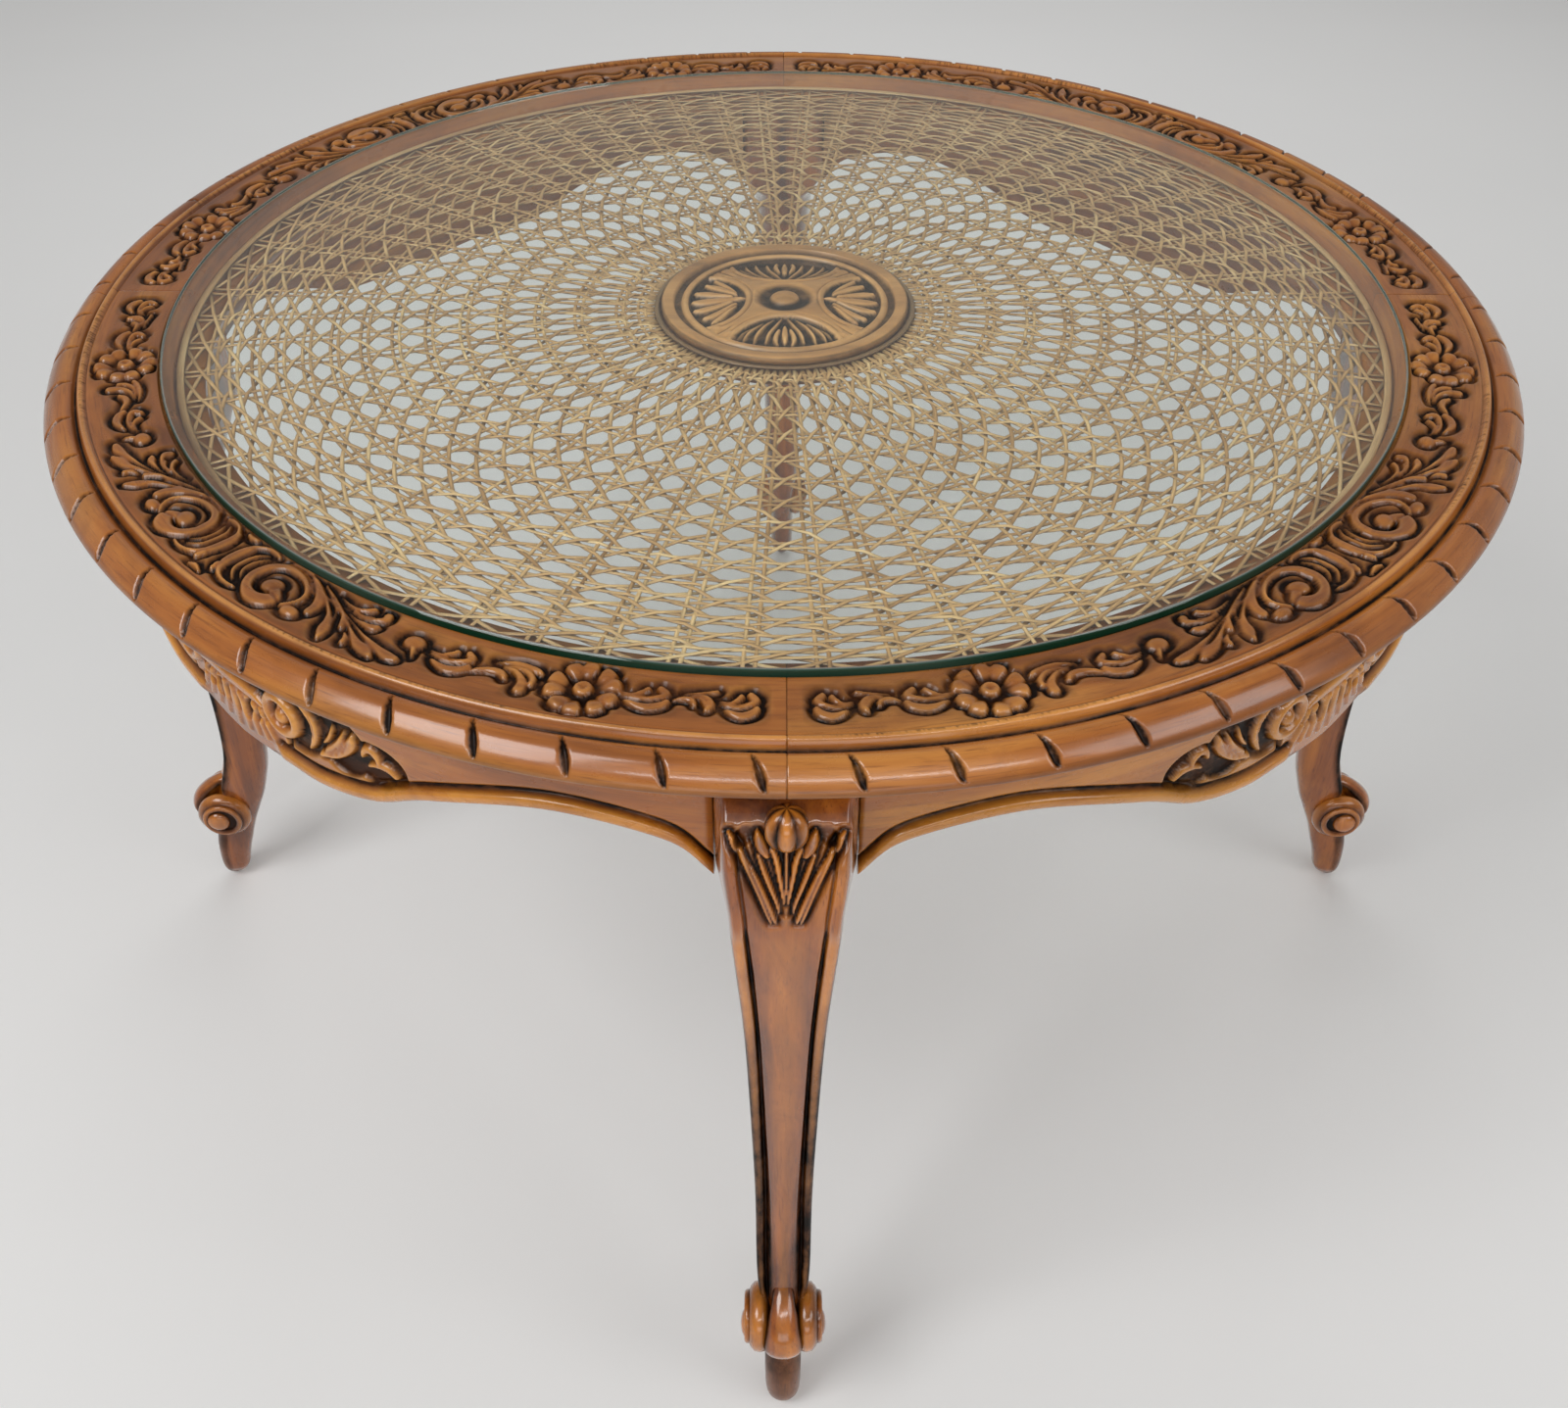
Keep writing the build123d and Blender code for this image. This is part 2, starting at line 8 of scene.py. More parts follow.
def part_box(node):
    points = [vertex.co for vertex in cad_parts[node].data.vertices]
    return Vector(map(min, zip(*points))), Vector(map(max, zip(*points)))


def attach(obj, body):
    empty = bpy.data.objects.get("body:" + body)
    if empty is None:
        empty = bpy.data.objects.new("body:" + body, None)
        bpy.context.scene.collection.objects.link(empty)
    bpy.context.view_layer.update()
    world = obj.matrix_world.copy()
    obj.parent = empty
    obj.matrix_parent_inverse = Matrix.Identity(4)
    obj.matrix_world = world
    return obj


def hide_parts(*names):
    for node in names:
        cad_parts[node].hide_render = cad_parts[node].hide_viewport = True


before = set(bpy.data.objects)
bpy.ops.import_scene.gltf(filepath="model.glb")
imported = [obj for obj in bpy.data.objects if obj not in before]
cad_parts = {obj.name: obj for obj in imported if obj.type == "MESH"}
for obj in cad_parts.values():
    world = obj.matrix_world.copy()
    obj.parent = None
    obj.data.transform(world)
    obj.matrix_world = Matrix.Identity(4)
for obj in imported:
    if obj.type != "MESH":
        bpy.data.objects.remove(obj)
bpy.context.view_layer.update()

MM = 0.001
RNG = np.random.default_rng(41)
QUARTERS = {"front_right": -90.0, "back_right": 0.0, "back_left": 90.0, "front_left": 180.0}
LEGS = {"right": 0.0, "back": 90.0, "left": 180.0, "front": 270.0}


# ---------------------------------------------------------------- helpers

def smoothstep(x):
    x = np.clip(x, 0.0, 1.0)
    return x * x * (3.0 - 2.0 * x)


def swell(x, power=0.5):
    """1 at x = 0 and nothing from x = 1 on: an ellipse when the power is a half."""
    return np.clip(1 - x ** 2, 0, None) ** power


def bell(x, width):
    """1 at x = 0, fading on both sides."""
    return np.exp(-(x / width) ** 2)


def smooth_line(points, steps=6):
    """A Catmull-Rom curve through rows of numbers; every column is carried along."""
    p = np.asarray(points, float)
    if len(p) < 3:
        t = np.linspace(0, 1, steps + 1)[:, None]
        return p[0] + (p[1] - p[0]) * t
    ext = np.vstack([2 * p[0] - p[1], p, 2 * p[-1] - p[-2]])
    out = []
    for i in range(1, len(ext) - 2):
        a, b, c, d = ext[i - 1:i + 3]
        for k in range(steps):
            t = k / steps
            out.append(0.5 * (2 * b + (c - a) * t + (2 * a - 5 * b + 4 * c - d) * t * t
                              + (3 * b - a - 3 * c + d) * t ** 3))
    out.append(ext[-2])
    return np.array(out)


def along(points, at):
    """The second column of the points at the given values of the first column, smoothly."""
    line = smooth_line(points, 12)
    order = np.argsort(line[:, 0])
    return np.interp(at, line[order, 0], line[order, 1])


def seg_distance(x, y, p, q):
    """Distance from a straight stroke, and how far along the stroke the nearest point lies."""
    dx, dy = q[0] - p[0], q[1] - p[1]
    length = dx * dx + dy * dy
    if length < 1e-12:
        t = np.zeros_like(x)
    else:
        t = np.clip(((x - p[0]) * dx + (y - p[1]) * dy) / length, 0, 1)
    return np.hypot(x - p[0] - t * dx, y - p[1] - t * dy), t


class Relief:
    """Low carving as heights over a grid: raised strokes on a ground sunk beside them."""

    def __init__(self, x, y, depth, spread=4.5):
        self.x, self.y, self.depth, self.spread = x, y, depth, spread
        self.gap = np.full(x.shape, 1e3)
        self.form = np.full(x.shape, -1e3)
        self.cut = np.zeros(x.shape)

    def window(self, p, q, reach):
        return ((self.x > min(p[0], q[0]) - reach) & (self.x < max(p[0], q[0]) + reach)
                & (self.y > min(p[1], q[1]) - reach) & (self.y < max(p[1], q[1]) + reach))

    def ridge(self, points, top, fullness=0.5, scale=1.0):
        line = smooth_line(points)
        for p, q in zip(line[:-1], line[1:]):
            m = self.window(p, q, max(p[2], q[2]) * scale + self.spread)
            if not m.any():
                continue
            d, t = seg_distance(self.x[m], self.y[m], p, q)
            w = np.maximum((p[2] + t * (q[2] - p[2])) * scale, 0.25)
            rise = swell(d / w, fullness) * (0.4 + 0.6 * np.minimum(1, w / 1.6))
            dish = 0.9 * np.clip((w - 1.4) / 1.6, 0, 1) * bell(d, 0.42 * w)
            h = np.where(d < w, -self.depth + (top + self.depth) * rise - dish, -1e3)
            self.form[m] = np.maximum(self.form[m], h)
            self.gap[m] = np.minimum(self.gap[m], d - w)

    def groove(self, points, depth, steps=6):
        line = smooth_line(points, steps)
        cut = np.zeros(self.x.shape)
        for p, q in zip(line[:-1], line[1:]):
            m = self.window(p, q, max(p[2], q[2]) * 1.6)
            if not m.any():
                continue
            d, t = seg_distance(self.x[m], self.y[m], p, q)
            w = p[2] + t * (q[2] - p[2])
            cut[m] = np.maximum(cut[m], depth * swell(d / w, 1))
        self.cut += cut

    def oval(self, centre, radii, turn=0.0):
        """0 at the centre of an oval and 1 on its outline."""
        c, s = math.cos(turn), math.sin(turn)
        dx, dy = self.x - centre[0], self.y - centre[1]
        return np.hypot((c * dx + s * dy) / radii[0], (-s * dx + c * dy) / radii[1])

    def dome(self, centre, radii, top, fullness=0.5, turn=0.0):
        rho = self.oval(centre, radii, turn)
        h = np.where(rho < 1, -self.depth + (top + self.depth) * swell(rho, fullness), -1e3)
        self.form = np.maximum(self.form, h)
        self.gap = np.minimum(self.gap, (rho - 1) * min(radii))

    def pocket(self, centre, radii):
        """A sunk oval ground that the strokes stand in."""
        rho = self.oval(centre, radii)
        self.gap = np.minimum(self.gap, (rho - 1) * min(radii))

    def hollow(self, centre, radii, depth, turn=0.0):
        self.cut += depth * swell(self.oval(centre, radii, turn), 0.7)

    def ground(self):
        """The surface left between the strokes."""
        return -self.depth * smoothstep(1 - np.clip(self.gap, 0, None) / self.spread)

    def shade_and_glaze(self, h, reach=5.0):
        """Painted shade with the dark glaze: dark beside the strokes and in their low parts."""
        beside = 0.92 * np.exp(-np.clip(self.gap, 0, None) / reach)
        within = 0.95 * np.clip((-h - 0.2 * self.depth) / (0.65 * self.depth), 0, 1)
        return np.where(self.form <= self.ground() + 0.05, beside, within)

    def height(self):
        return np.maximum(self.ground(), self.form) - self.cut


def box_blur(z, passes=2):
    """A grid with each height averaged with its neighbours."""
    for _ in range(passes):
        p = np.pad(z, 1, mode="edge")
        z = (p[:-2, 1:-1] + p[2:, 1:-1] + p[1:-1, :-2] + p[1:-1, 2:] + 4 * p[1:-1, 1:-1]) / 8
    return z


def shade_of(z, depth, passes=10):
    """How much painted shade and dark glaze lie in the carving, and how much painted highlight and rubbing
    lighten its crests.
    """
    wide = box_blur(z, passes)
    cavity = np.clip((wide - z) / (0.45 * depth), 0, 1)
    shade_and_glaze = np.clip(0.85 * np.clip(-z / depth, 0, 1) ** 0.9 + 0.85 * cavity, 0, 1)
    wear_and_highlight = np.clip((z - wide) / (0.35 * depth), 0, 1)
    return shade_and_glaze, wear_and_highlight


def make_mesh(name, verts, faces, attributes, material, grain):
    """A mesh object from arrays in millimetres; attributes are one number for each vertex."""
    mesh = bpy.data.meshes.new(name)
    v = np.asarray(verts, np.float32) * MM
    mesh.vertices.add(len(v))
    mesh.vertices.foreach_set("co", v.ravel())
    loops = np.concatenate([np.asarray(f, np.int32).ravel() for f in faces])
    starts, totals, at = [], [], 0
    for f in faces:
        f = np.asarray(f, np.int32)
        n = 1 if f.ndim == 1 else len(f)
        k = f.shape[-1]
        starts.append(at + k * np.arange(n))
        totals.append(np.full(n, k))
        at += n * k
    starts = np.concatenate(starts).astype(np.int32)
    totals = np.concatenate(totals).astype(np.int32)
    mesh.loops.add(len(loops))
    mesh.loops.foreach_set("vertex_index", loops)
    mesh.polygons.add(len(starts))
    mesh.polygons.foreach_set("loop_start", starts)
    mesh.polygons.foreach_set("loop_total", totals)
    mesh.update(calc_edges=True)
    mesh.validate(clean_customdata=False)
    mesh.polygons.foreach_set("use_smooth", np.ones(len(mesh.polygons), bool))
    for key, values in attributes.items():
        layer = mesh.attributes.new(key, "FLOAT", "POINT")
        layer.data.foreach_set("value", np.asarray(values, np.float32).ravel())
    layer = mesh.attributes.new("grain", "FLOAT_VECTOR", "POINT")
    layer.data.foreach_set("vector", np.asarray(grain, np.float32).ravel())
    obj = bpy.data.objects.new(name, mesh)
    bpy.context.scene.collection.objects.link(obj)
    mesh.materials.append(material)
    return obj


def loop_faces(rows, around, closed=False):
    """Quads between rows of closed rings of points; closed joins the last row to the first."""
    i, j = np.meshgrid(np.arange(rows if closed else rows - 1), np.arange(around), indexing="ij")
    k, n = (j + 1) % around, (i + 1) % rows
    return np.stack([i * around + j, i * around + k, n * around + k, n * around + j], -1).reshape(-1, 4)


def capped(rows, around, first=0, flip=False):
    """The faces of a closed skin: rings joined by quads, the two ends closed."""
    sides = loop_faces(rows, around)
    start, end = np.arange(around)[::-1], np.arange(around) + (rows - 1) * around
    if flip:
        sides, start, end = sides[:, ::-1], start[::-1], end[::-1]
    return [sides + first, start + first, end + first]


def turn(points, degrees):
    """Points turned about the table's upright axis."""
    a = math.radians(degrees)
    p = np.asarray(points, float)
    return np.stack([p[..., 0] * math.cos(a) - p[..., 1] * math.sin(a),
                     p[..., 0] * math.sin(a) + p[..., 1] * math.cos(a), p[..., 2]], -1)


# ---------------------------------------------------------------- materials

def srgb(r, g, b):
    """A colour given in screen values from 0 to 255."""
    def lin(c):
        c = c / 255.0
        return c / 12.92 if c <= 0.04045 else ((c + 0.055) / 1.055) ** 2.4
    return (lin(r), lin(g), lin(b), 1.0)


class Finish:
    """A node material and short ways to add nodes to it."""

    def __init__(self, name):
        self.material = bpy.data.materials.new(name)
        self.material.use_nodes = True
        self.tree = self.material.node_tree
        self.surface = self.tree.nodes["Principled BSDF"]
        self.out = self.tree.nodes["Material Output"]

    def feed(self, socket, value):
        """Links an input to a socket, or sets it to a fixed value."""
        if isinstance(value, bpy.types.NodeSocket):
            self.tree.links.new(value, socket)
        else:
            socket.default_value = value

    def node(self, kind, inputs=None, **settings):
        n = self.tree.nodes.new(kind)
        for key, value in settings.items():
            setattr(n, key, value)
        for key, value in (inputs or {}).items():
            self.feed(n.inputs[key], value)
        return n

    def math(self, op, a, b=0.0, c=0.0, clamp=False):
        return self.node("ShaderNodeMath", {0: a, 1: b, 2: c}, operation=op, use_clamp=clamp).outputs[0]

    def times(self, a, b):
        return self.math("MULTIPLY", a, b)

    def place(self):
        """Positions on the object, in metres."""
        return self.node("ShaderNodeTexCoord").outputs["Object"]

    def attribute(self, name, vector=False):
        n = self.node("ShaderNodeAttribute", attribute_name=name)
        return n.outputs["Vector" if vector else "Fac"]

    def noise(self, vector, scale, detail=4.0, rough=0.55, distortion=0.0, stretch=None):
        if stretch is not None:
            stretched = self.node("ShaderNodeVectorMath", {0: vector, 1: stretch}, operation="MULTIPLY")
            vector = stretched.outputs[0]
        inputs = {"Vector": vector, "Scale": scale, "Detail": detail, "Roughness": rough,
                  "Distortion": distortion}
        return self.node("ShaderNodeTexNoise", inputs).outputs["Fac"]

    def ramp(self, value, stops):
        n = self.node("ShaderNodeValToRGB", inputs={"Fac": value})
        els = n.color_ramp.elements
        for i, (at, colour) in enumerate(stops):
            e = els[i] if i < 2 else els.new(at)
            e.position = at
            e.color = colour
        return n.outputs["Color"]

    def span(self, value, low, high, to_low=0.0, to_high=1.0):
        inputs = {"Value": value, "From Min": low, "From Max": high, "To Min": to_low, "To Max": to_high}
        return self.node("ShaderNodeMapRange", inputs, clamp=True).outputs["Result"]

    def mix(self, factor, a, b):
        settings = {"data_type": "RGBA", "blend_type": "MIX", "clamp_factor": True}
        return self.node("ShaderNodeMix", {0: factor, 6: a, 7: b}, **settings).outputs[2]

    def bump(self, height, strength, distance):
        n = self.node("ShaderNodeBump", {"Height": height, "Strength": strength, "Distance": distance})
        self.link(n.outputs["Normal"], "Normal")

    def link(self, value, name):
        self.feed(self.surface.inputs[name], value)


def carved_wood(name, light, middle, dark, shade_and_glaze, bright, rough=0.3, coat=0.5, patch=0.9):
    """Stained and lacquered wood: painted shade and dark glaze darken the carving, painted highlight and
    rubbing lighten the crests.
    """
    f = Finish(name)
    g = f.attribute("grain", True)
    fibre = f.noise(g, 55.0, 5.0, 0.6, 0.6, (0.06, 1.0, 1.0))
    pores = f.noise(g, 900.0, 2.0, 0.6, 0.0, (0.05, 1.0, 1.0))
    cloud = f.noise(g, 9.0, 4.0, 0.55, 0.8, (0.5, 1.0, 1.0))
    tone = f.math("ADD", f.times(fibre, 0.5), f.times(cloud, 0.5))
    base = f.ramp(tone, [(0.36, dark), (0.5, middle), (0.64, light)])
    fleck = f.span(pores, 0.56, 0.7)
    base = f.mix(f.times(fleck, 0.45), base, dark)
    mottle = f.noise(g, 30.0, 6.0, 0.65, 0.0, (0.6, 1.0, 1.0))
    # Crests mixed towards the bright colour: painted highlight together with rubbed wood.
    rubbed_and_highlight = f.math("MULTIPLY", f.attribute("wear_and_highlight"), f.span(mottle, 0.35, 0.6, 0.35, 1.0), clamp=True)
    base = f.mix(f.times(rubbed_and_highlight, 0.75), base, bright)
    # Carving mixed towards the dark colour, unevenly: painted shade together with dark glaze.
    shade_and_glaze_noise = f.noise(g, 75.0, 5.0, 0.7, 0.0, (0.6, 1.0, 1.0))
    amount = f.attribute("shade_and_glaze")
    amount = f.math("MULTIPLY", amount, f.span(shade_and_glaze_noise, 0.3, 0.62, 0.72, 1.15), clamp=True)
    base = f.mix(amount, base, shade_and_glaze)
    old = f.span(cloud, 0.5, 0.68)
    base = f.mix(f.times(old, 0.3 * patch), base, shade_and_glaze)
    stain = f.span(f.noise(g, 18.0, 6.0, 0.7, 1.2, (0.5, 1.0, 1.0)), 0.5, 0.72)
    base = f.mix(f.times(stain, 0.5 * patch), base, dark)
    f.link(base, "Base Color")
    sheen = f.span(mottle, 0.3, 0.7, rough - 0.06, rough + 0.1)
    f.link(f.math("ADD", sheen, f.times(amount, 0.15)), "Roughness")
    f.link(f.math("MULTIPLY_ADD", amount, -0.9 * coat, coat), "Coat Weight")
    f.link(f.math("MULTIPLY_ADD", amount, -0.4, 0.5), "Specular IOR Level")
    f.link(0.12, "Coat Roughness")
    height = f.math("ADD", f.times(pores, 0.6), f.times(mottle, 0.5))
    f.bump(height, 0.12, 0.0006)
    return f.material


def bare_wood(name, light, dark, direction=(0.08, 1.0, 1.0)):
    """Unfinished wood inside the frame, seen only from below."""
    f = Finish(name)
    co = f.place()
    fibre = f.noise(co, 90.0, 5.0, 0.6, 0.8, direction)
    pores = f.noise(co, 700.0, 2.0, 0.6, 0.0, direction)
    base = f.ramp(fibre, [(0.38, dark), (0.62, light)])
    base = f.mix(f.times(f.span(pores, 0.55, 0.7), 0.5), base, dark)
    f.link(base, "Base Color")
    f.link(f.span(pores, 0.3, 0.7, 0.5, 0.75), "Roughness")
    f.bump(pores, 0.3, 0.0006)
    return f.material


def cane_finish(name):
    """Natural cane: long fibres, strands of different tone, painted shade along the edges and where it dips.
    """
    f = Finish(name)
    g = f.attribute("grain", True)
    fibre = f.noise(g, 1500.0, 2.0, 0.6, 0.0, (0.02, 1.0, 1.0))
    piece = f.noise(g, 28.0, 3.0, 0.6, 0.0, (0.15, 1.0, 1.0))
    base = f.ramp(piece, [(0.33, srgb(170, 128, 80)), (0.5, srgb(206, 164, 112)),
                          (0.68, srgb(232, 198, 146))])
    base = f.mix(f.span(fibre, 0.5, 0.75, 0.0, 0.4), base, srgb(116, 76, 38))
    # Painted shade: the strands' edges and dips darkened.
    base = f.mix(f.times(f.attribute("shade_and_glaze"), 0.9), base, srgb(60, 34, 18))
    f.link(base, "Base Color")
    f.link(f.span(fibre, 0.3, 0.7, 0.38, 0.55), "Roughness")
    f.link(0.15, "Coat Weight")
    f.bump(fibre, 0.25, 0.0003)
    return f.material


def glass_finish(name, edge_radius):
    """Clear glass that turns green at its edge and lets the light through to what it covers."""
    f = Finish(name)
    co = f.place()
    split = f.node("ShaderNodeSeparateXYZ", inputs={"Vector": co})
    radius = f.math("SQRT", f.math("ADD", f.times(split.outputs[0], split.outputs[0]),
                                   f.times(split.outputs[1], split.outputs[1])))
    rim = f.span(radius, edge_radius - 0.0016, edge_radius - 0.0004)
    ripple = f.noise(co, 6.0, 2.0, 0.5)
    tint = f.mix(rim, srgb(250, 255, 252), srgb(10, 66, 46))
    f.link(f.span(rim, 0.0, 1.0, 1.0, 0.35), "Transmission Weight")
    f.link(f.mix(f.span(ripple, 0.4, 0.6, 0.0, 0.05), tint, srgb(225, 245, 235)), "Base Color")
    f.link(f.span(ripple, 0.3, 0.7, 0.0, 0.02), "Roughness")
    f.link(1.5, "IOR")
    clear = f.node("ShaderNodeBsdfTransparent", inputs={"Color": (0.96, 0.98, 0.97, 1)})
    path = f.node("ShaderNodeLightPath")
    mixer = f.node("ShaderNodeMixShader", inputs={0: path.outputs["Is Shadow Ray"],
                                                 1: f.surface.outputs[0], 2: clear.outputs[0]})
    f.tree.links.new(mixer.outputs[0], f.out.inputs["Surface"])
    return f.material


def steel_finish(name):
    f = Finish(name)
    co = f.place()
    scratch = f.noise(co, 900.0, 4.0, 0.7, 0.0, (1.0, 1.0, 0.1))
    tarnish = f.noise(co, 120.0, 4.0, 0.6)
    base = f.ramp(tarnish, [(0.35, srgb(150, 132, 90)), (0.65, srgb(196, 178, 128))])
    f.link(base, "Base Color")
    f.link(1.0, "Metallic")
    f.link(f.span(scratch, 0.3, 0.7, 0.25, 0.5), "Roughness")
    f.bump(scratch, 0.2, 0.0002)
    return f.material


# The fourth colour of each wood is the dark of painted shade and glaze, the fifth the light of painted
# highlight and rubbed wood.
RIM_WOOD = carved_wood("rim_wood", srgb(212, 140, 60), srgb(168, 97, 32), srgb(106, 54, 16),
                       srgb(22, 10, 5), srgb(230, 160, 80), rough=0.26, coat=0.65)
APRON_WOOD = carved_wood("apron_wood", srgb(208, 134, 38), srgb(166, 92, 16), srgb(102, 50, 8),
                         srgb(20, 8, 3), srgb(236, 164, 62), rough=0.25, coat=0.7)
LEG_WOOD = carved_wood("leg_wood", srgb(208, 124, 36), srgb(156, 82, 20), srgb(84, 36, 9),
                       srgb(13, 6, 3), srgb(234, 152, 58), rough=0.18, coat=0.9)
MEDALLION_WOOD = carved_wood("medallion_wood", srgb(204, 152, 94), srgb(168, 116, 64), srgb(108, 68, 34),
                             srgb(30, 20, 13), srgb(222, 172, 112), rough=0.34, coat=0.25)
CANE = cane_finish("natural_cane")
INNER_WOOD = bare_wood("inner_wood", srgb(196, 150, 98), srgb(150, 104, 62))
HUB_WOOD = bare_wood("hub_wood", srgb(140, 92, 54), srgb(96, 58, 34))
STEEL = steel_finish("screw_steel")
GLASS = glass_finish("clear_glass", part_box("glass_top")[1].x)

# ---------------------------------------------------------------- rim

# The frieze is laid out along the rim in units from a seam, mirrored about the middle of each quarter.
# Strokes are rows of (units along, radius, half width).
UNIT = 6.885
MID = 46.2
LEAF_A = (
    (((.07, .56, 1.8), (.19, .74, 2.6), (.43, .84, 2.6), (.68, .76, 1.7), (.86, .62, .6)), 0.8),
    (((.24, .06, 2.0), (.13, .24, 2.5), (.22, .40, 1.6), (.46, .51, 1.0), (.73, .50, .9),
      (.97, .40, .5)), 0.7),
    (((.30, .33, .8), (.50, .42, .8), (.76, .42, .7), (1.0, .30, .5)), 0.4),
    (((.47, .12, 1.7), (.56, .27, 1.6), (.72, .36, .9), (.95, .30, .5)), 0.6),
)
LEAF_A_PLACES = ((1.75, 4.5, 398.0, 417.0), (7.7, 11.4, 397.5, 415.2), (21.8, 25.5, 397.0, 415.0))
FRIEZE_STROKES = (
    ((4.7, 397.7, 1.2), (5.3, 398.6, 1.0), (6.2, 399.6, .8), (7.0, 400.2, .5)),
    ((5.25, 411, 1.6), (5.05, 407.5, 2.2), (5.2, 403.8, 1.8), (5.7, 401.5, 1.1), (6.5, 401, .5)),
    ((5.35, 410, .6), (5.5, 405.5, 1.2), (5.9, 403, .9), (6.6, 402, .5)),
    ((6.1, 408, 1.2), (6.35, 404.8, 1.8), (6.9, 404.3, 1.5), (7.6, 405.5, .8)),
    ((17.9, 413.5, 3), (17.95, 409, 2.6), (18.35, 404.8, 1.9), (19, 401.8, 1.2), (19.9, 400.9, .5)),
    ((17.3, 409, 1.5), (17.4, 405, 1.8), (17.9, 401.5, 1.6), (18.8, 399.6, 1.0), (20, 399.8, .5)),
    ((16.95, 400.8, 1), (17.4, 398.8, 1.9), (18.6, 397, 1.6), (19.7, 397.2, 1), (20.6, 398.7, .5)),
    ((19.3, 408.5, 1.5), (19.7, 405.5, 2.3), (20.5, 405, 2), (21.3, 407, 1.5), (21.9, 409.5, .7)),
    ((26.6, 405.5, 1.8), (26.35, 409, 1.2), (26.2, 412, .5)),
)
ACANTHUS_STROKES = (
    ((27.1, 416, 2.2), (27.8, 415.5, 3), (28.6, 413.8, 2.3), (29.6, 411.3, 1.6), (30.6, 408.6, 1),
     (32, 404, .6), (33.6, 399.5, .6), (35.2, 395.5, .5)),
    ((28.8, 419.8, 1.6), (29.5, 417, 3.3), (30.3, 415.2, 2.8), (31, 412.2, 1.8), (31.8, 408.3, 1.1),
     (33, 402.8, .8), (34.6, 398.2, .6), (36, 394.8, .5)),
    ((31.35, 417.8, 1.7), (31.45, 414.8, 1.5), (31.9, 411.5, .8)),
    ((33.1, 422.3, .7), (33.2, 418.6, 2.3), (33.45, 414.5, 3.3), (33.7, 410.8, 2.6), (34.05, 406.3, 1.3),
     (34.8, 401.4, .9), (35.9, 396.4, .7), (37.2, 391.6, .5)),
    ((32.55, 408.6, 1.9), (32.85, 405.6, 1.6), (33.3, 401.8, 1.2), (34.2, 397.6, .9), (35.4, 393.2, .7),
     (36.6, 389.8, .6)),
    ((33.4, 409.2, .6), (34.2, 400.6, .6), (35.6, 394, .6), (37, 388.5, .7)),
    ((34, 409.3, 1), (34.5, 404, .9), (35.5, 398, .9), (36.8, 392.5, .9), (38, 388.6, .9)),
    ((35.7, 408.6, 2.9), (35.7, 404.4, 3.1), (36.05, 399.5, 2.9), (36.75, 394.6, 2.4), (37.8, 390.2, 1.5),
     (38.6, 388, .8)),
    ((36.4, 398, .7), (37.6, 391, .8), (38.8, 387.5, .8), (40.2, 386.8, .8), (41.2, 388.5, .8)),
    ((37.1, 397.5, .7), (38, 392.5, .7), (39, 389.3, .7), (40.3, 388.3, .7), (41.4, 390, .7)),
    ((30.15, 400.4, 1.2), (30.5, 401.6, 2.3), (31.1, 402, 1.6), (32, 401, .8), (33.2, 398.5, .5)),
    ((30.4, 391.4, 2.6), (30.3, 394, 2.3), (30.9, 396.6, 1.2), (31.8, 398, .8), (33, 397, .5)),
    ((31.2, 395.2, .8), (32, 396.8, .8), (33, 396, .8)),
    ((31.75, 390.6, 1.7), (32.1, 392.8, 1.6), (32.8, 394.4, 1.1), (33.8, 393.6, .8), (35, 391, .5)),
)
SCROLL_BAND = ((37.95, 413.5, 1), (37.4, 410, 1.3), (37.1, 405.6, 1.4), (37.25, 400.8, 1.5),
               (37.85, 396.2, 1.6), (38.8, 392.5, 1.7), (40, 390.9, 1.9),
               (41.1, 391.8, 2.4), (41.9, 395.8, 2.8), (42.2, 401, 3.2),
               (42.2, 406.5, 3.3), (41.8, 412, 3.2), (41, 416.2, 3.4), (40.2, 417.6, 4.2), (39.4, 416.2, 4.8),
               (38.95, 412.6, 4.6), (39.3, 408.6, 3.4))
CENTRE_STROKES = (
    ((42.15, 418.3, .9), (43, 419.2, 1.1), (44, 418, 1.3), (44.7, 414.8, 1.9), (45.15, 409, 3),
     (45.25, 402.5, 3.3), (45.2, 396.8, 3), (45, 392.6, 2.2)),
    ((44.9, 392, 1.5), (44.2, 388.6, 1.3), (43.3, 387.6, 1.2), (42.5, 388.6, 1)),
    ((45.1, 417.3, 1.4), (45.3, 413, 1.6)),
    ((45.5, 423.0, .9), (46.2, 421.6, 1.5)),
    ((45.6, 388.2, 1.2), (46.2, 388.8, 1.8)),
)
CENTRE_FLUTES = (
    ((43.1, 415, 1.0), (44.0, 409.5, 1.5), (44.15, 402, 1.6), (44.0, 395.5, 1.4), (43.4, 390.8, 1.0)),
    ((42.7, 412, .9), (43.35, 407.5, 1.3), (43.5, 402, 1.4), (43.35, 397, 1.2), (43.0, 392.6, .9)),
)
FLOWER = (13.78, 405.4)
FRIEZE_DEPTH = 3.0


